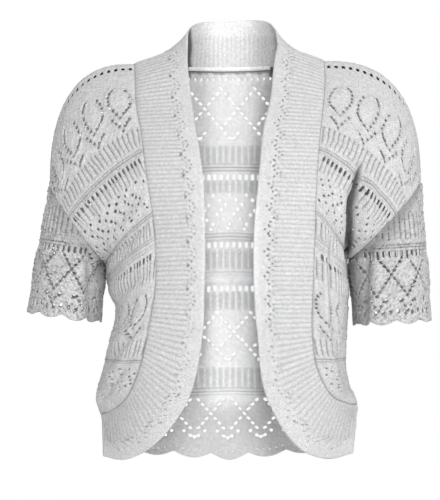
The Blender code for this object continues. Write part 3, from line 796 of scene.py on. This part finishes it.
def cut_leaves(knit, tip, period, size, shift, upright):
    """Eyelets round single leaves that hang upright, although the rows slope to the arm."""
    for n in range(0, 5):
        for side, width in LEAF_WIDTHS.items():
            for up in np.concatenate([np.arange(0, 9) * LEAF_STEP, [-3.0, -8.0, -13.0, -18.0]]):
                aside = side * float(leaf_width(up, width))
                a = n * period + shift + aside
                b = tip - up - leaf_slant(n, upright) * aside
                knit.hole(a, b, *size, lean=side * 0.3)


def leaf_edge(a, b, tip, period, shift, upright):
    """Sideways distance out of the nearest leaf's edge, and where leaves are at all."""
    number = np.clip(np.round((a - shift) / period), 0, 4)
    aside = a - shift - number * period
    up = tip - b - leaf_slant(number, upright) * aside
    width = np.where(aside < 0, LEAF_WIDTHS[-1], LEAF_WIDTHS[1])
    there = step(-SECOND_V - 3.0, -SECOND_V + 2.0, up) * (1 - step(42.0, 50.0, up))
    return np.abs(aside) - leaf_width(up, width), there


# %% [markdown]
# ## Arcs, rows and lozenges
#
# The rest of the chart is simpler: equal holes in a straight row, shallow arcs over the hem and
# small lozenges that wander from side to side.

# %% Rows of holes
def cut_arcs(knit, lowest, period, size, shift):
    """Shallow arcs of eyelets over the hem."""
    for n in repeats(knit, period):
        for k in (-2, -1, 0, 1, 2):
            a = (n + 0.5 + k / 6.5) * period + shift
            knit.hole(a, lowest - 2.2 * k * k, *size)


def cut_row(knit, b, pitch, size, corner=2.0, offset=0.5):
    """Equal holes along one row."""
    for n in repeats(knit, pitch):
        knit.hole((n + offset) * pitch, b, *size, corner)


def cut_zigzag(knit, first, period, size, row, steps=8):
    """Lozenges of eyelets that wander from side to side."""
    wander = (0, 3, 6, 4, 2, 5, 8, 7)
    for n in repeats(knit, period):
        for k in range(steps):
            a = (n + wander[k] / 8) * period
            knit.hole(a, first + k * row, *size)


# %% [markdown]
# ## Raised and sunken stitches
#
# Ribs and garter ridges stand more than a millimetre high in this yarn, which a bump can't
# show at the edge of a sleeve. They are sums of smooth waves, so each can be tuned by its
# pitch and height alone.

# %% Relief of each zone
RIB_HEIGHT = 1.05
GARTER_PITCH = 4.2
GARTER_HEIGHT = 1.3
RIDGE_AWAY = 3.6
RIDGE_WIDTH = 1.4
PAINTED_FURROW_WIDTH = 1.5


def hump(values, centre, width):
    """A soft bump of height 1 round a centre."""
    return np.exp(-((values - centre) / width) ** 2)


def zone(b, first, last, soft=2.5):
    return step(first - soft, first + soft, b) * (1 - step(last - soft, last + soft, b))


def ribs(a, pitch, sharp=1.6):
    """Raised wales with narrow furrows between them, from -1 to 1."""
    wave = 0.5 + 0.5 * np.cos(2 * math.pi * a / pitch)
    return 2 * wave ** (1 / sharp) - 1


def ridges(b, first, count, pitch):
    """Garter ridges across the rows, from 0 to 1."""
    wave = 0.5 - 0.5 * np.cos(2 * math.pi * (b - first) / pitch)
    return wave * (b > first) * (b < first + count * pitch)


def lattice(a, b, crossing, period, slope):
    """Sideways distance from the nearest line of a diamond lattice."""
    shift = (b - crossing) * slope
    rising = np.abs((a - shift + period / 2) % period - period / 2)
    falling = np.abs((a + shift + period / 2) % period - period / 2)
    return np.minimum(rising, falling)


# %% [markdown]
# ## Charts of the pieces
#
# The zones were read off the real garment from the shoulder down. One table drives the
# holes, the relief and the shade painted into the furrows, so a row of eyelets always sits in
# its own darkened furrow.

# %% Chart tables
# wale, course: size of a cell. rib, period, slot: widths of what repeats. row: height of one
# step of a diagonal. ridge, puff: how strong the relief is. shade: how dark the painted shade in
# its furrows is. speckle: how much the yarn's tone varies at random.
# The zones are given as distances down the rows, in millimetres.
CHARTS = {
    "front": {
        "wale": 1.9, "course": 1.8, "rib": 7.6, "period": 39.0, "slot": 7.6,
        "row": 5.4, "ridge": 2.4, "shade": 0.4, "puff": 2.0, "speckle": 0.18,
        "diamonds": (),
        "leaves": ((95, 23.0, 1.0), (378, 17.0, 0.0)),
        "ribs": ((118, 143), (168, 182), (243, 263), (293, 318), (396, 420)),
        "garter": ((145, 3), (230, 3), (265, 3), (421, 2)),
        "slots": (164, 287),
        "eyelets": (120, 245, 508),
        "shoulder": (12,),
        "zigzag": (185, 440),
    },
    "back": {
        "wale": 2.8, "course": 2.2, "rib": 8.4, "period": 44.8, "slot": 8.4,
        "row": 6.6, "ridge": 0.6, "shade": 0.15, "puff": 1.0, "speckle": 0.05,
        "diamonds": ((53, "crossed", 11.2), (356, "crossed", 5.6), (470, "hem", 19.6)),
        "ribs": ((103, 127), (150, 167), (246, 271), (303, 327), (406, 433)),
        "garter": ((128, 3), (219, 3), (275, 4), (434, 3)),
        "slots": (145, 238, 298),
        "eyelets": (249, 519),
        "dashes": (14,),
        "arcs": (502,),
        "zigzag": (169,),
    },
    "sleeve": {
        "wale": 1.9, "course": 1.8, "rib": 7.6, "period": 38.0, "slot": 7.6,
        "row": 5.4, "ridge": 3.0, "shade": 0.6, "puff": 1.8, "speckle": 0.5,
        "diamonds": ((-6, "long", 11.4), (106, "double", 11.4)),
        "ribs": ((27, 62),),
        "garter": ((64, 3),),
        "slots": (80,),
        "large": (140,),
        "eyelets": (149, 161),
        "shoulder": (155,),
        "zigzag": (),
    },
}
CHARTS["front_right"] = {**CHARTS["front"], "eyelet": (2, 2, 1.8, 1.6)}
CHARTS["sleeve_back"] = {**CHARTS["sleeve"], "gap": (1, 5, 0.9, 4.4)}
SHOULDER_PITCH = 9.5
SLEEVE_BACK_ASIDE = 11.4
# Holes: columns and rows left out, half width and half height of the rounded edge. Where a
# table has two, the key is the width of a wale.
SHOULDER_EYELET = (2, 3, 2.5, 3.4)
LARGE = (3, 3, 2.9, 2.9)
DASH = (1, 3, 1.3, 2.8)
EYELET = {1.9: (2, 2, 2.3, 2.1), 2.8: (2, 2, 2.5, 2.7)}
SLOT = {1.9: (2, 5, 1.8, 4.4), 2.8: (2, 4, 2.3, 4.2)}
SMALL = {1.9: (1, 1, 1.0, 1.1), 2.8: (1, 1, 1.3, 1.2)}
print("charts:", ", ".join(sorted(CHARTS)))

# %% [markdown]
# ## Cutting and raising a chart
#
# All holes are cut first, since they pull the stitches beside them to a side. The ribs, ridges
# and puffed leaves are then read at the moved places, so they bend round the holes.

# %% Chart onto cells
def cut_chart(knit, chart):
    """Cut all holes of a chart."""
    wale = chart["wale"]
    row = chart["row"]
    eyelet = chart.get("eyelet", EYELET[wale])
    gap = chart.get("gap", SLOT[wale])
    for crossing, kind, shift in chart["diamonds"]:
        cut_lines(knit, crossing, chart["period"], eyelet, kind, row, shift)
    for tip, shift, upright in chart.get("leaves", ()):
        cut_leaves(knit, tip, chart["period"], eyelet, shift, upright)
    for b in chart["slots"]:
        cut_row(knit, b, chart["slot"], gap, 4.0)
    for b in chart.get("large", ()):
        cut_row(knit, b, 0.5 * chart["period"], LARGE, 2.0, 0.0)
    for b in chart["eyelets"]:
        cut_row(knit, b, chart["slot"], SMALL[wale])
    for b in chart.get("shoulder", ()):
        cut_row(knit, b, SHOULDER_PITCH, SHOULDER_EYELET)
    for b in chart.get("dashes", ()):
        cut_row(knit, b, chart["slot"], DASH)
    for b in chart.get("arcs", ()):
        cut_arcs(knit, b, chart["period"], eyelet, 19.6)
    for first in chart["zigzag"]:
        cut_zigzag(knit, first, chart["period"] / 2, eyelet, row)


def raise_chart(knit, chart):
    """The relief of a chart and the shade painted into its furrows, on the net with its holes."""
    row = chart["row"]
    slope = 2 * chart["wale"] / row
    a = knit.a + knit.shift_a
    b = knit.b + knit.shift_b
    lift = np.zeros(a.shape)
    groove = np.zeros(a.shape)
    # Furrows beside ribs, garter ridges, lines of eyelets and leaves get painted shade in their
    # colour.
    for first, last in chart["ribs"]:
        weight = zone(b, first, last)
        wave = ribs(a, chart["rib"])
        lift += weight * RIB_HEIGHT * wave
        groove += weight * np.clip(0.35 - wave, 0, 1)
    for first, count in chart["garter"]:
        wave = ridges(b, first, count, GARTER_PITCH)
        inside = zone(b, first, first + count * GARTER_PITCH, 1.0)
        lift += inside * (GARTER_HEIGHT * wave - 0.3)
        groove += inside * np.clip(1 - 2.5 * wave, 0, 1)
    for crossing, kind, shift in chart["diamonds"]:
        first = min(line[0] for line in LINES[kind])
        last = max(line[1] for line in LINES[kind])
        weight = zone(b, crossing + first * row, crossing + last * row, 3.0)
        away = lattice(a - shift, b, crossing, chart["period"], slope)
        lift += weight * chart["ridge"] * hump(away, RIDGE_AWAY, RIDGE_WIDTH)
        lift += weight * chart["puff"] * (step(0.0, chart["period"] / 3, away) - 0.3)
        groove += weight * chart["shade"] * hump(away, 0.0, PAINTED_FURROW_WIDTH)
    for tip, shift, upright in chart.get("leaves", ()):
        out, there = leaf_edge(a, b, tip, chart["period"], shift, upright)
        ridge = hump(out, RIDGE_AWAY, RIDGE_WIDTH) + 0.7 * hump(out, -RIDGE_AWAY, RIDGE_WIDTH)
        puff = 1 - step(-14.0, 0.0, out)
        lift += there * (chart["ridge"] * ridge + chart["puff"] * puff)
        groove += there * chart["shade"] * hump(out, 0.0, PAINTED_FURROW_WIDTH)
    return lift, np.clip(groove, 0, 1)


# %% [markdown]
# ## Folds
#
# Cloth that hangs from a shoulder is never smooth. The main folds are listed one by one, each as
# a line seen from the front with its own width and height, the way a tailor would chalk them.

# %% Folds listed one by one
FOLDS = {
    # start x, z, end x, z, width, height
    "front_left": (
        (-152, -232, -104, -176, 7, 4.5),
        (-140, -244, -104, -208, 5, -5.0),
        (-138, -266, -106, -240, 6, 4.0),
        (-142, -300, -106, -272, 5, -4.0),
        (-205, -150, -165, -215, 8, -3.0),
        (-215, -110, -185, -185, 10, 2.5),
        (-150, -372, -108, -318, 5, 4.0),
        (-158, -392, -112, -338, 4, -4.0),
        (-164, -420, -118, -356, 5, 3.5),
        (-168, -440, -126, -384, 4, -3.5),
    ),
    "front_right": (
        (118, -225, 120, -340, 4, 5.0),
        (120, -340, 140, -425, 5, 4.0),
        (127, -235, 129, -330, 3.5, -5.0),
        (129, -335, 146, -410, 4, -3.5),
        (168, -128, 153, -188, 7, -5.0),
        (167, -136, 154, -186, 2.8, -8.0),
        (154, -176, 152, -262, 7, -5.0),
        (154, -180, 153, -268, 4.0, -12.0),
        (165, -150, 158, -262, 8, -5.0),
        (182, -140, 170, -240, 7, 5.0),
        (225, -110, 190, -190, 9, 2.5),
        (140, -240, 150, -320, 7, 2.0),
    ),
    "back": (
        (-150, -240, -60, -190, 12, 3.0),
        (150, -240, 60, -195, 12, 3.0),
        (-33, -280, -38, -400, 8, 4.5),
        (38, -330, 52, -450, 8, 4.5),
        (-62, -380, -84, -470, 9, 4.5),
        (-110, -300, -95, -430, 12, -3.5),
        (110, -290, 98, -440, 12, -3.5),
        (-20, -330, 10, -480, 14, 2.0),
    ),
    "sleeve_left_front": (
        (-184, -240, -178, -345, 6, -6.0), (-194, -255, -196, -340, 7, 2.5),
        (-164, -246, -174, -280, 5, -7.0),
        (-240, -190, -235, -300, 8, 1.5),
    ),
    "sleeve_right_front": (
        (178, -235, 172, -345, 7, -8.0), (190, -250, 186, -340, 7, 3.0),
        (240, -190, 238, -300, 8, 1.5),
    ),
    "sleeve_left_back": ((-176, -270, -215, -310, 8, 2.5), (-236, -190, -230, -300, 9, -1.8)),
    "sleeve_right_back": ((176, -270, 210, -310, 8, 2.5), (236, -190, 232, -300, 9, -1.8)),
}


def folds(name, knit):
    """Height of the folds of a piece at each point, fading out at its seams."""
    x = knit.points[:, :, 0]
    z = knit.points[:, :, 2]
    height = np.zeros(x.shape)
    for x0, z0, x1, z1, width, rise in FOLDS.get(name, ()):
        length = math.hypot(x1 - x0, z1 - z0)
        along = ((x - x0) * (x1 - x0) + (z - z0) * (z1 - z0)) / length
        aside = ((x - x0) * (z1 - z0) - (z - z0) * (x1 - x0)) / length
        ends = step(-0.25 * length, 0.25 * length, along)
        ends = ends * (1 - step(0.75 * length, 1.25 * length, along))
        height += rise * ends * hump(aside, 0.0, width)
    unevenness = 0.5 * np.sin(x / 17.0 + z / 31.0) * np.sin(z / 23.0 - x / 41.0)
    fade = step(0.0, 14.0, knit.border())
    top = step(0.0, 14.0, knit.b - knit.rows[0])
    return (height + unevenness) * fade * top


# %% [markdown]
# ## Making the lace pieces
#
# Back, fronts and half sleeves all follow the same steps: lay the cells on the form, cut the
# chart, add folds, paint shade into the furrows and creases, pinch the cloth a little along each
# seam, and give it a wall.

# %% Steps of a lace piece
def scallop(a, height, period):
    return height * (2 * np.abs(np.cos(math.pi * a / period)) - 1)


def uneven_stitches(shape, size=0.26):
    """No two stitches of a hand knitter stand equally high."""
    return np.random.default_rng(shape[0]).normal(0.0, size, shape)


def pinch(distance, depth=1.0, reach=4.0):
    """Cloth sinks towards a seam."""
    return -depth * (1 - step(0.0, reach, distance))


def paint_shade_and_speckle(name, kind, knit, groove, height):
    """Painted shade on the outside, in creases, on the sleeve's inner side and beside the band seam,
    over a random speckle of the yarn's tone.
    """
    # A random speckle of the yarn's own tone; then painted shade in deep creases, where folds sink
    # in.
    groove += np.abs(uneven_stitches(groove.shape, CHARTS[kind]["speckle"]))
    groove = np.maximum(groove, 1.6 * step(2.0, 12.0, -height))
    if kind == "sleeve":
        # Painted shade on the sleeve's inner side, where it turns towards the body; stronger on the
        # right sleeve.
        share = (knit.a - knit.low[:, None]) / (knit.high - knit.low)[:, None]
        inner_side_shade = 1.1 if name.startswith("sleeve_right") else 0.75
        groove = np.maximum(groove, inner_side_shade * step(0.5, 0.95, share))
    if kind == "front":
        # Painted shade beside the band seam, where the front tucks under the band, darker low down.
        shade_beside_band = hump(knit.a, knit.low[:, None], 2.2)
        groove = np.maximum(groove, shade_beside_band * (0.25 + 0.6 * step(300.0, 360.0, knit.b)))
    return groove


def paint_shade_inside_back(knit, groove, height):
    """Painted shade on the back's inner side: a shadow under the tape, at the tape's ends and beside
    folds.
    """
    # Painted shadow: a ragged dark line under the neck tape and dark patches at its ends.
    ragged_shadow_edge = 1.5 * np.sin(knit.a / 2.3) * np.sin(knit.a / 5.1)
    shadow_under_tape = 1.3 - 1.3 * step(5.0, 9.0, knit.b + ragged_shadow_edge)
    inner = np.maximum(groove, np.maximum(shadow_under_tape, 0.5 * step(1.0, 5.0, height)))
    shadow_at_tape_end = step(50.0, 54.0, np.abs(knit.points[:, :, 0]))
    return np.maximum(inner, 1.7 * shadow_at_tape_end * (1 - step(9.0, 14.0, knit.b)))


def lace_piece(name, kind, last, hem=None):
    chart = CHARTS.get(f"{kind}_{name.split('_')[-1]}", CHARTS[kind])
    first = FORMS[name].levels[0] + 0.1
    aside = SLEEVE_BACK_ASIDE if kind == "sleeve" and name.endswith("back") else 0.0
    knit = Knit(FORMS[name], chart["wale"], chart["course"], first, last, aside)
    cut_chart(knit, chart)
    lift, groove = raise_chart(knit, chart)
    lift += uneven_stitches(lift.shape)
    height = folds(name, knit)
    groove = paint_shade_and_speckle(name, kind, knit, groove, height)
    inner = paint_shade_inside_back(knit, groove, height) if kind == "back" else groove
    lift = lift * step(0.0, 5.0, knit.border()) + height + pinch(knit.border(), 0.8)
    lift += pinch(knit.b - knit.rows[0], 0.8)
    drop = np.zeros(lift.shape)
    if hem:
        wave_height, wave_length = hem
        wave = scallop(knit.a, wave_height, wave_length)
        drop = wave * step(last - 30.0, last, knit.b)
    return knit_mesh(name + "_lace", knit, lift, drop, groove, inner)


# %% [markdown]
# ## Seven pieces of lace
#
# The back and the cuffs end in scallops, which are made by letting the last rows hang lower
# in waves. The fronts end in the seam of the band and need none.

# %% Lace pieces
PIECES = {"back": lace_piece("back", "back", BACK_LENGTH, BACK_SCALLOP)}
for hand in ("left", "right"):
    PIECES[f"front_{hand}"] = lace_piece(f"front_{hand}", "front", FRONT_LENGTH + 1.8)
    for place in ("front", "back"):
        key = f"sleeve_{hand}_{place}"
        PIECES[key] = lace_piece(key, "sleeve", SLEEVE_LENGTH, CUFF_SCALLOP)

# %% [markdown]
# ## The ribbed band and the collar
#
# The band is knitted sideways: its ribs run across it, and a smooth strip with a zigzag of
# tiny eyelets follows its free edge. Its cells are narrow along the band, so that every rib
# has a crest and a furrow.

# %% Band pieces
BAND_RIB = 5.9
BAND_COURSE = 2.0
SMOOTH_STRIP = 0.74
ZIGZAG_PERIOD = 28.8
ZIGZAG_REACH = 5.0
# x in mm left of which the collar's inner side gets a painted shadow.
COLLAR_SHADOW_X = -50.0


def band_piece(name, seam_depth):
    form = FORMS[name]
    width = form.levels[-1]
    length = float(form.across[0][-1])
    rib = length / round(length / BAND_RIB)
    knit = Knit(form, rib / 4, BAND_COURSE, 0.05, width - 0.05)
    centre = SMOOTH_STRIP * width + 1.0
    spacing = ZIGZAG_PERIOD / 6
    dots = range(1, int(length / spacing)) if name != "collar" else ()
    for n in dots:
        for aside, size in ((0.0, (1.35, 1.2)), (-5.0, (1.0, 0.8))):
            along = (n + aside / 10) * spacing
            phase = (along % ZIGZAG_PERIOD) / ZIGZAG_PERIOD
            b = centre + ZIGZAG_REACH * (4 * abs(phase - 0.5) - 1) + aside
            knit.hole(knit.at_share(along / length, b), b, 2, 1, *size, lean=0.3)
    scaled = knit.share * length
    wave = ribs(scaled, rib, 0.9)
    ribbed = 1 - step(SMOOTH_STRIP - 0.10, SMOOTH_STRIP, knit.b / width)
    lift = 0.6 * wave * ribbed * step(0.0, 4.0, knit.b)
    # Painted shade in the furrows between the band's ribs.
    groove = np.clip(0.2 - wave, 0, 1) * ribbed * 0.7
    lift = lift + pinch(knit.b, seam_depth, 5.0)
    edge = width - knit.b
    lift = lift + 0.5 * hump(edge, 2.5, 1.8) - 0.5 * (1 - step(0.0, 2.0, edge))
    slow = 0.6 * np.sin(scaled / 29.0) * np.sin(knit.b / 19.0 + scaled / 61.0)
    lift = lift + slow * step(0.0, 12.0, knit.border()) * step(0.0, 10.0, knit.b)
    lift += uneven_stitches(lift.shape, 0.18) * step(0.0, 6.0, knit.border())
    inner = groove
    # On the collar's inner side, left of a ragged line, a near-black painted shadow stands for the
    # deep fold where the band turns into the collar.
    if name == "collar":
        ragged_shadow_edge = 0.8 * np.sin(knit.points[:, :, 2] / 6.0)
        collar_shadow = 1 - step(-2.0, 1.0, knit.points[:, :, 0] - COLLAR_SHADOW_X + ragged_shadow_edge)
        inner = np.maximum(groove, 3.0 * collar_shadow)
    knit.a = scaled
    return knit_mesh(name + "_rib", knit, lift, np.zeros(lift.shape), groove, inner)


for key, depth in (("band_left", 1.6), ("band_right", 1.4), ("collar", 0.6)):
    PIECES[key] = band_piece(key, depth)

# %% [markdown]
# ## The neck tape
#
# A narrow tape covers the seam behind the neck on the inside. It is a slim rounded strip, so
# a small tube pressed flat would do; here a row of short sections is swept along the seam.

# %% Tape on the neck seam
TAPE_REACH = 56.0
TAPE_HALF_HEIGHT = 2.7
TAPE_HALF_THICK = 1.2
TAPE_INWARD = 2.2
TAPE_TWILL = 2.4
TAPE_SECTIONS = 80
TAPE_SIDES = 12


def tape_sections():
    middle = COLLAR.length / 2
    vertices = []
    for distance in np.linspace(middle - TAPE_REACH, middle + TAPE_REACH, TAPE_SECTIONS):
        station = COLLAR.at(distance)
        up = station[3:] - station[:3]
        up = up / np.linalg.norm(up)
        along = COLLAR.at(distance + 1.0)[:3] - COLLAR.at(distance - 1.0)[:3]
        inward = np.cross(up, along)
        inward = inward / np.linalg.norm(inward)
        if inward[1] > 0:
            inward = -inward
        centre = station[:3] + inward * TAPE_INWARD
        twist = 0.15 * math.sin(distance * 2 * math.pi / TAPE_TWILL)
        for side in range(TAPE_SIDES):
            angle = 2 * math.pi * side / TAPE_SIDES
            height = up * math.sin(angle) * TAPE_HALF_HEIGHT
            thick = inward * math.cos(angle) * (TAPE_HALF_THICK + twist)
            vertices.append(tuple((centre + height + thick) * MM))
    return vertices


def tape_faces():
    faces = []
    for section in range(TAPE_SECTIONS - 1):
        for side in range(TAPE_SIDES):
            following = (side + 1) % TAPE_SIDES
            low = section * TAPE_SIDES
            high = low + TAPE_SIDES
            faces.append((low + side, low + following, high + following, high + side))
    faces.append(tuple(range(TAPE_SIDES)))
    last = (TAPE_SECTIONS - 1) * TAPE_SIDES
    faces.append(tuple(last + side for side in reversed(range(TAPE_SIDES))))
    return faces


def neck_tape():
    mesh = bpy.data.meshes.new("neck_tape_woven")
    mesh.from_pydata(tape_sections(), [], tape_faces())
    piece = new_piece("neck_tape_woven", mesh)
    bpy.ops.object.mode_set(mode="EDIT")
    bpy.ops.mesh.select_all(action="SELECT")
    bpy.ops.mesh.normals_make_consistent(inside=False)
    bpy.ops.object.mode_set(mode="OBJECT")
    bpy.ops.object.shade_smooth()
    piece.select_set(False)
    return piece


PIECES["neck_tape"] = neck_tape()

# %% [markdown]
# ## Writing shader maths as sums
#
# A knit material is mostly arithmetic on distances along and down the rows. One small class
# wraps a socket, so the maths can be written as ordinary Python expressions, and all other
# nodes come from its one method.

# %% Sockets as numbers
class Wire:
    """A shader socket that can be added, multiplied and so on."""

    def __init__(self, tree, socket):
        self.tree = tree
        self.socket = socket

    def fill(self, place, value):
        """Link a socket to an input, or write a plain number there."""
        if isinstance(value, Wire):
            self.tree.links.new(value.socket, place)
        else:
            place.default_value = value

    def node(self, kind, output, settings=None, **inputs):
        """One output of a new node. Inputs go by name, or by an underscore and their number."""
        made = self.tree.nodes.new(kind)
        for key, value in (settings or {}).items():
            setattr(made, key, value)
        for key, value in inputs.items():
            place = int(key[1:]) if key.startswith("_") else key
            self.fill(made.inputs[place], value)
        return Wire(self.tree, made.outputs[output])

    def math(self, operation, *values):
        made = self.tree.nodes.new("ShaderNodeMath")
        made.operation = operation
        for place, value in zip(made.inputs, values):
            self.fill(place, value)
        return Wire(self.tree, made.outputs[0])

    def __add__(self, other):
        return self.math("ADD", self, other)

    def __radd__(self, other):
        return self.math("ADD", other, self)

    def __sub__(self, other):
        return self.math("SUBTRACT", self, other)

    def __rsub__(self, other):
        return self.math("SUBTRACT", other, self)

    def __mul__(self, other):
        return self.math("MULTIPLY", self, other)

    def __rmul__(self, other):
        return self.math("MULTIPLY", other, self)

    def __truediv__(self, other):
        return self.math("DIVIDE", self, other)

    def absolute(self):
        return self.math("ABSOLUTE", self)

    def fraction(self):
        return self.math("FRACT", self)

    def cosine(self):
        return self.math("COSINE", self)

    def clamp(self):
        return self.math("MINIMUM", self.math("MAXIMUM", self, 0.0), 1.0)


# %% [markdown]
# ## The yarn
#
# Each stitch of plain knitting is a small V, so the fine relief is a row of slanted strands
# that lean left and right by turns. It is only a bump, because single stitches are about two
# millimetres wide; everything larger is in the mesh. The yarn is dull and slightly mottled.
# Shade is painted into its colour: darker down in furrows and deep creases, where the strands
# shade each other, on the sleeves' inner sides and where the neck tape and the collar's fold
# cover it. That painted shade is read from each mesh's own attribute, so it stays with the
# cloth from every side.

# %% Knit material
YARN_BASE = 0.42
LOOP_SHADE = 0.20
FUZZ_SHADE = 0.80


def noise(start, scale):
    """Unevenness that keeps its place on the cloth."""
    place = start.node("ShaderNodeTexCoord", "Object")
    return start.node("ShaderNodeTexNoise", "Fac", Vector=place, Scale=scale, Detail=3.0)


def plain_knitting(start, wale, course, turned):
    """The loops of plain knitting, from 0 to 1, and their height."""
    uv = start.node("ShaderNodeUVMap", "UV", {"uv_map": "stitches"})
    along, down = [
        start.node("ShaderNodeSeparateXYZ", axis, Vector=uv) * (1 / MM) for axis in "XY"
    ]
    if turned:
        along, down = down, along
    lean = ((along / wale).fraction() - 0.5).absolute()
    strand = (down / course + lean * 1.4) * (2 * math.pi)
    loops = strand.cosine() * 0.5 + 0.5
    valley = (lean * 2.0).clamp()
    return loops, loops * 0.6 + valley * (1.0 - valley) * 2.0


def knit_material(name, colour, wale, course, turned=False, shade=0.5, strength=0.6):
    material = bpy.data.materials.new(name)
    material.use_nodes = True
    shader = material.node_tree.nodes["Principled BSDF"]
    start = Wire(material.node_tree, shader.outputs[0])
    loops, height = plain_knitting(start, wale, course, turned)
    fuzz = noise(start, 420.0)
    mottle = noise(start, 38.0)
    depth = start.node("ShaderNodeAttribute", "Fac", {"attribute_name": "groove"})
    stitch = YARN_BASE + loops * LOOP_SHADE + fuzz * FUZZ_SHADE
    # depth is the painted shade read from the mesh: it darkens the colour in furrows, creases and
    # covered places.
    tone = (1.0 - depth * shade) * stitch * (0.95 + mottle * 0.1)
    grey = start.node("ShaderNodeCombineColor", "Color", Red=tone, Green=tone, Blue=tone)
    multiply = {"data_type": "RGBA", "blend_type": "MULTIPLY"}
    inputs = {
        "Base Color": start.node(
            "ShaderNodeMix", 2, multiply, Factor=1.0, _6=(*colour, 1.0), _7=grey,
        ),
        "Normal": start.node(
            "ShaderNodeBump", "Normal", Distance=0.001, Strength=strength, Height=height + fuzz * 0.5,
        ),
        "Roughness": 0.86 + mottle * 0.1,
        "Sheen Weight": 0.2,
        "Sheen Roughness": 0.5,
        "Specular IOR Level": 0.2,
    }
    for key, value in inputs.items():
        start.fill(shader.inputs[key], value)
    return material


YARN_COLOUR = (0.76, 0.76, 0.765)
LACE_YARN = knit_material("lace_yarn", YARN_COLOUR, 3.8, 3.3)
RIB_YARN = knit_material("rib_yarn", YARN_COLOUR, 2.95, 2.4, turned=True, shade=0.28)
TAPE_CLOTH = knit_material("tape_cloth", (0.82, 0.82, 0.82), 1.5, 1.5)

# %% [markdown]
# ## Dressing the frame
#
# Every piece of cloth takes the place of its own solid and rides on the same body. Its area is
# printed beside the flat area it was cut to, because cloth can bend but hardly stretches.

# %% Cloth sizes and places
SHEETS = {
    # name: flat width, flat length, flat area, what it hangs from
    "back": (0.53, 0.54, 0.215, ("collar",)),
    "front_left": (0.24, 0.53, 0.058, ("band_left",)),
    "front_right": (0.24, 0.53, 0.058, ("band_right",)),
    "sleeve_left_front": (0.17, 0.17, 0.024, ("front_left",)),
    "sleeve_left_back": (0.17, 0.17, 0.024, ("back",)),
    "sleeve_right_front": (0.17, 0.17, 0.024, ("front_right",)),
    "sleeve_right_back": (0.17, 0.17, 0.024, ("back",)),
    "band_left": (0.07, 0.56, 0.039, ("collar",)),
    "band_right": (0.07, 0.56, 0.039, ("collar",)),
    "collar": (0.065, 0.28, 0.016, ("back",)),
}
for key, piece in PIECES.items():
    rib = key.startswith("band") or key == "collar"
    yarn = TAPE_CLOTH if key == "neck_tape" else RIB_YARN if rib else LACE_YARN
    piece.data.materials.clear()
    piece.data.materials.append(yarn)
    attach(piece, "root")
    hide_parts(key)
for key, (width, length, area, rests) in SHEETS.items():
    mesh = PIECES[key].data
    measured = sum(face.area for face in mesh.polygons) / 2
    print(key, "area in square metres:", round(measured, 4), "stated:", area)

# %% [markdown]
# ## Floor and sky
#
# Pale cloth needs light from all round, or its folds turn black. The sky is white to the camera
# but gives less than half of that light, and the floor lies well below the hem.

# %% Floor and sky
SKY_LIGHT = 0.42
FLOOR_SIZE = 4.0
FLOOR_HEIGHT = -0.80


def plain_material(name, colour):
    material = bpy.data.materials.new(name)
    material.use_nodes = True
    shader = material.node_tree.nodes["Principled BSDF"]
    shader.inputs["Base Color"].default_value = (*colour, 1.0)
    shader.inputs["Roughness"].default_value = 1.0
    return material


bpy.ops.mesh.primitive_plane_add(size=FLOOR_SIZE, location=(0.0, 0.0, FLOOR_HEIGHT))
floor = bpy.context.object
floor.name = "floor"
floor.data.materials.append(plain_material("floor_white", (0.95, 0.95, 0.95)))

world = bpy.data.worlds.new("studio")
bpy.context.scene.world = world
world.use_nodes = True
background = world.node_tree.nodes["Background"]
background.inputs["Color"].default_value = (1.0, 1.0, 1.0, 1.0)
sky = Wire(world.node_tree, background.outputs[0])
seen = sky.node("ShaderNodeLightPath", "Is Camera Ray")
sky.fill(background.inputs["Strength"], seen * (1.0 - SKY_LIGHT) + SKY_LIGHT)


# %% [markdown]
# ## Lights
#
# Without a light from the side the folds would vanish. So there are large lights in front,
# behind and at one side, and a faint narrow one that reaches the back through the open front.

# %% Lights
def soft_light(name, place, target, size, power):
    bpy.ops.object.light_add(type="AREA", location=place)
    light = bpy.context.object
    light.name = name
    light.data.size = size
    light.data.energy = power
    away = np.array(target) - np.array(place)
    flat = math.hypot(away[0], away[1])
    light.rotation_euler = (
        math.atan2(flat, -away[2]), 0.0, math.atan2(away[1], away[0]) - math.pi / 2,
    )
    return light


CHEST = (0.0, -0.05, -0.25)
soft_light("front_light", (0.2, -3.2, 0.8), CHEST, 0.8, 62.0)
soft_light("key_light", (2.2, -1.3, 1.1), CHEST, 0.7, 17.0)
back_light = soft_light("back_light", (-0.9, 2.9, 1.0), CHEST, 1.0, 50.0)
back_light.visible_camera = False
opening_light = soft_light("opening_light", (0.0, -0.45, -0.18), (0.0, 0.0, -0.18), 0.06, 0.06)
opening_light.data.shape = "RECTANGLE"
opening_light.data.size_y = 0.54
opening_light.data.spread = math.radians(6)
opening_light.visible_camera = False

# %% [markdown]
# ## Camera
#
# The camera stands level in front, far enough away that the garment is seen almost straight on.

# %% Camera
CAMERA_PLACE = (-0.0131, -3.065, -0.242)
CAMERA_DISTANCE = 3.0
METRES_PER_PIXEL = 0.00131
PICTURE_HEIGHT = 500
SENSOR = 36.0

bpy.ops.object.camera_add(location=CAMERA_PLACE, rotation=(math.pi / 2, 0.0, 0.0))
camera = bpy.context.object
camera.data.sensor_width = SENSOR
camera.data.lens = SENSOR * CAMERA_DISTANCE / (PICTURE_HEIGHT * METRES_PER_PIXEL)
bpy.context.scene.camera = camera
bpy.context.scene.view_settings.view_transform = "Standard"
print("lens in mm:", round(camera.data.lens, 1))
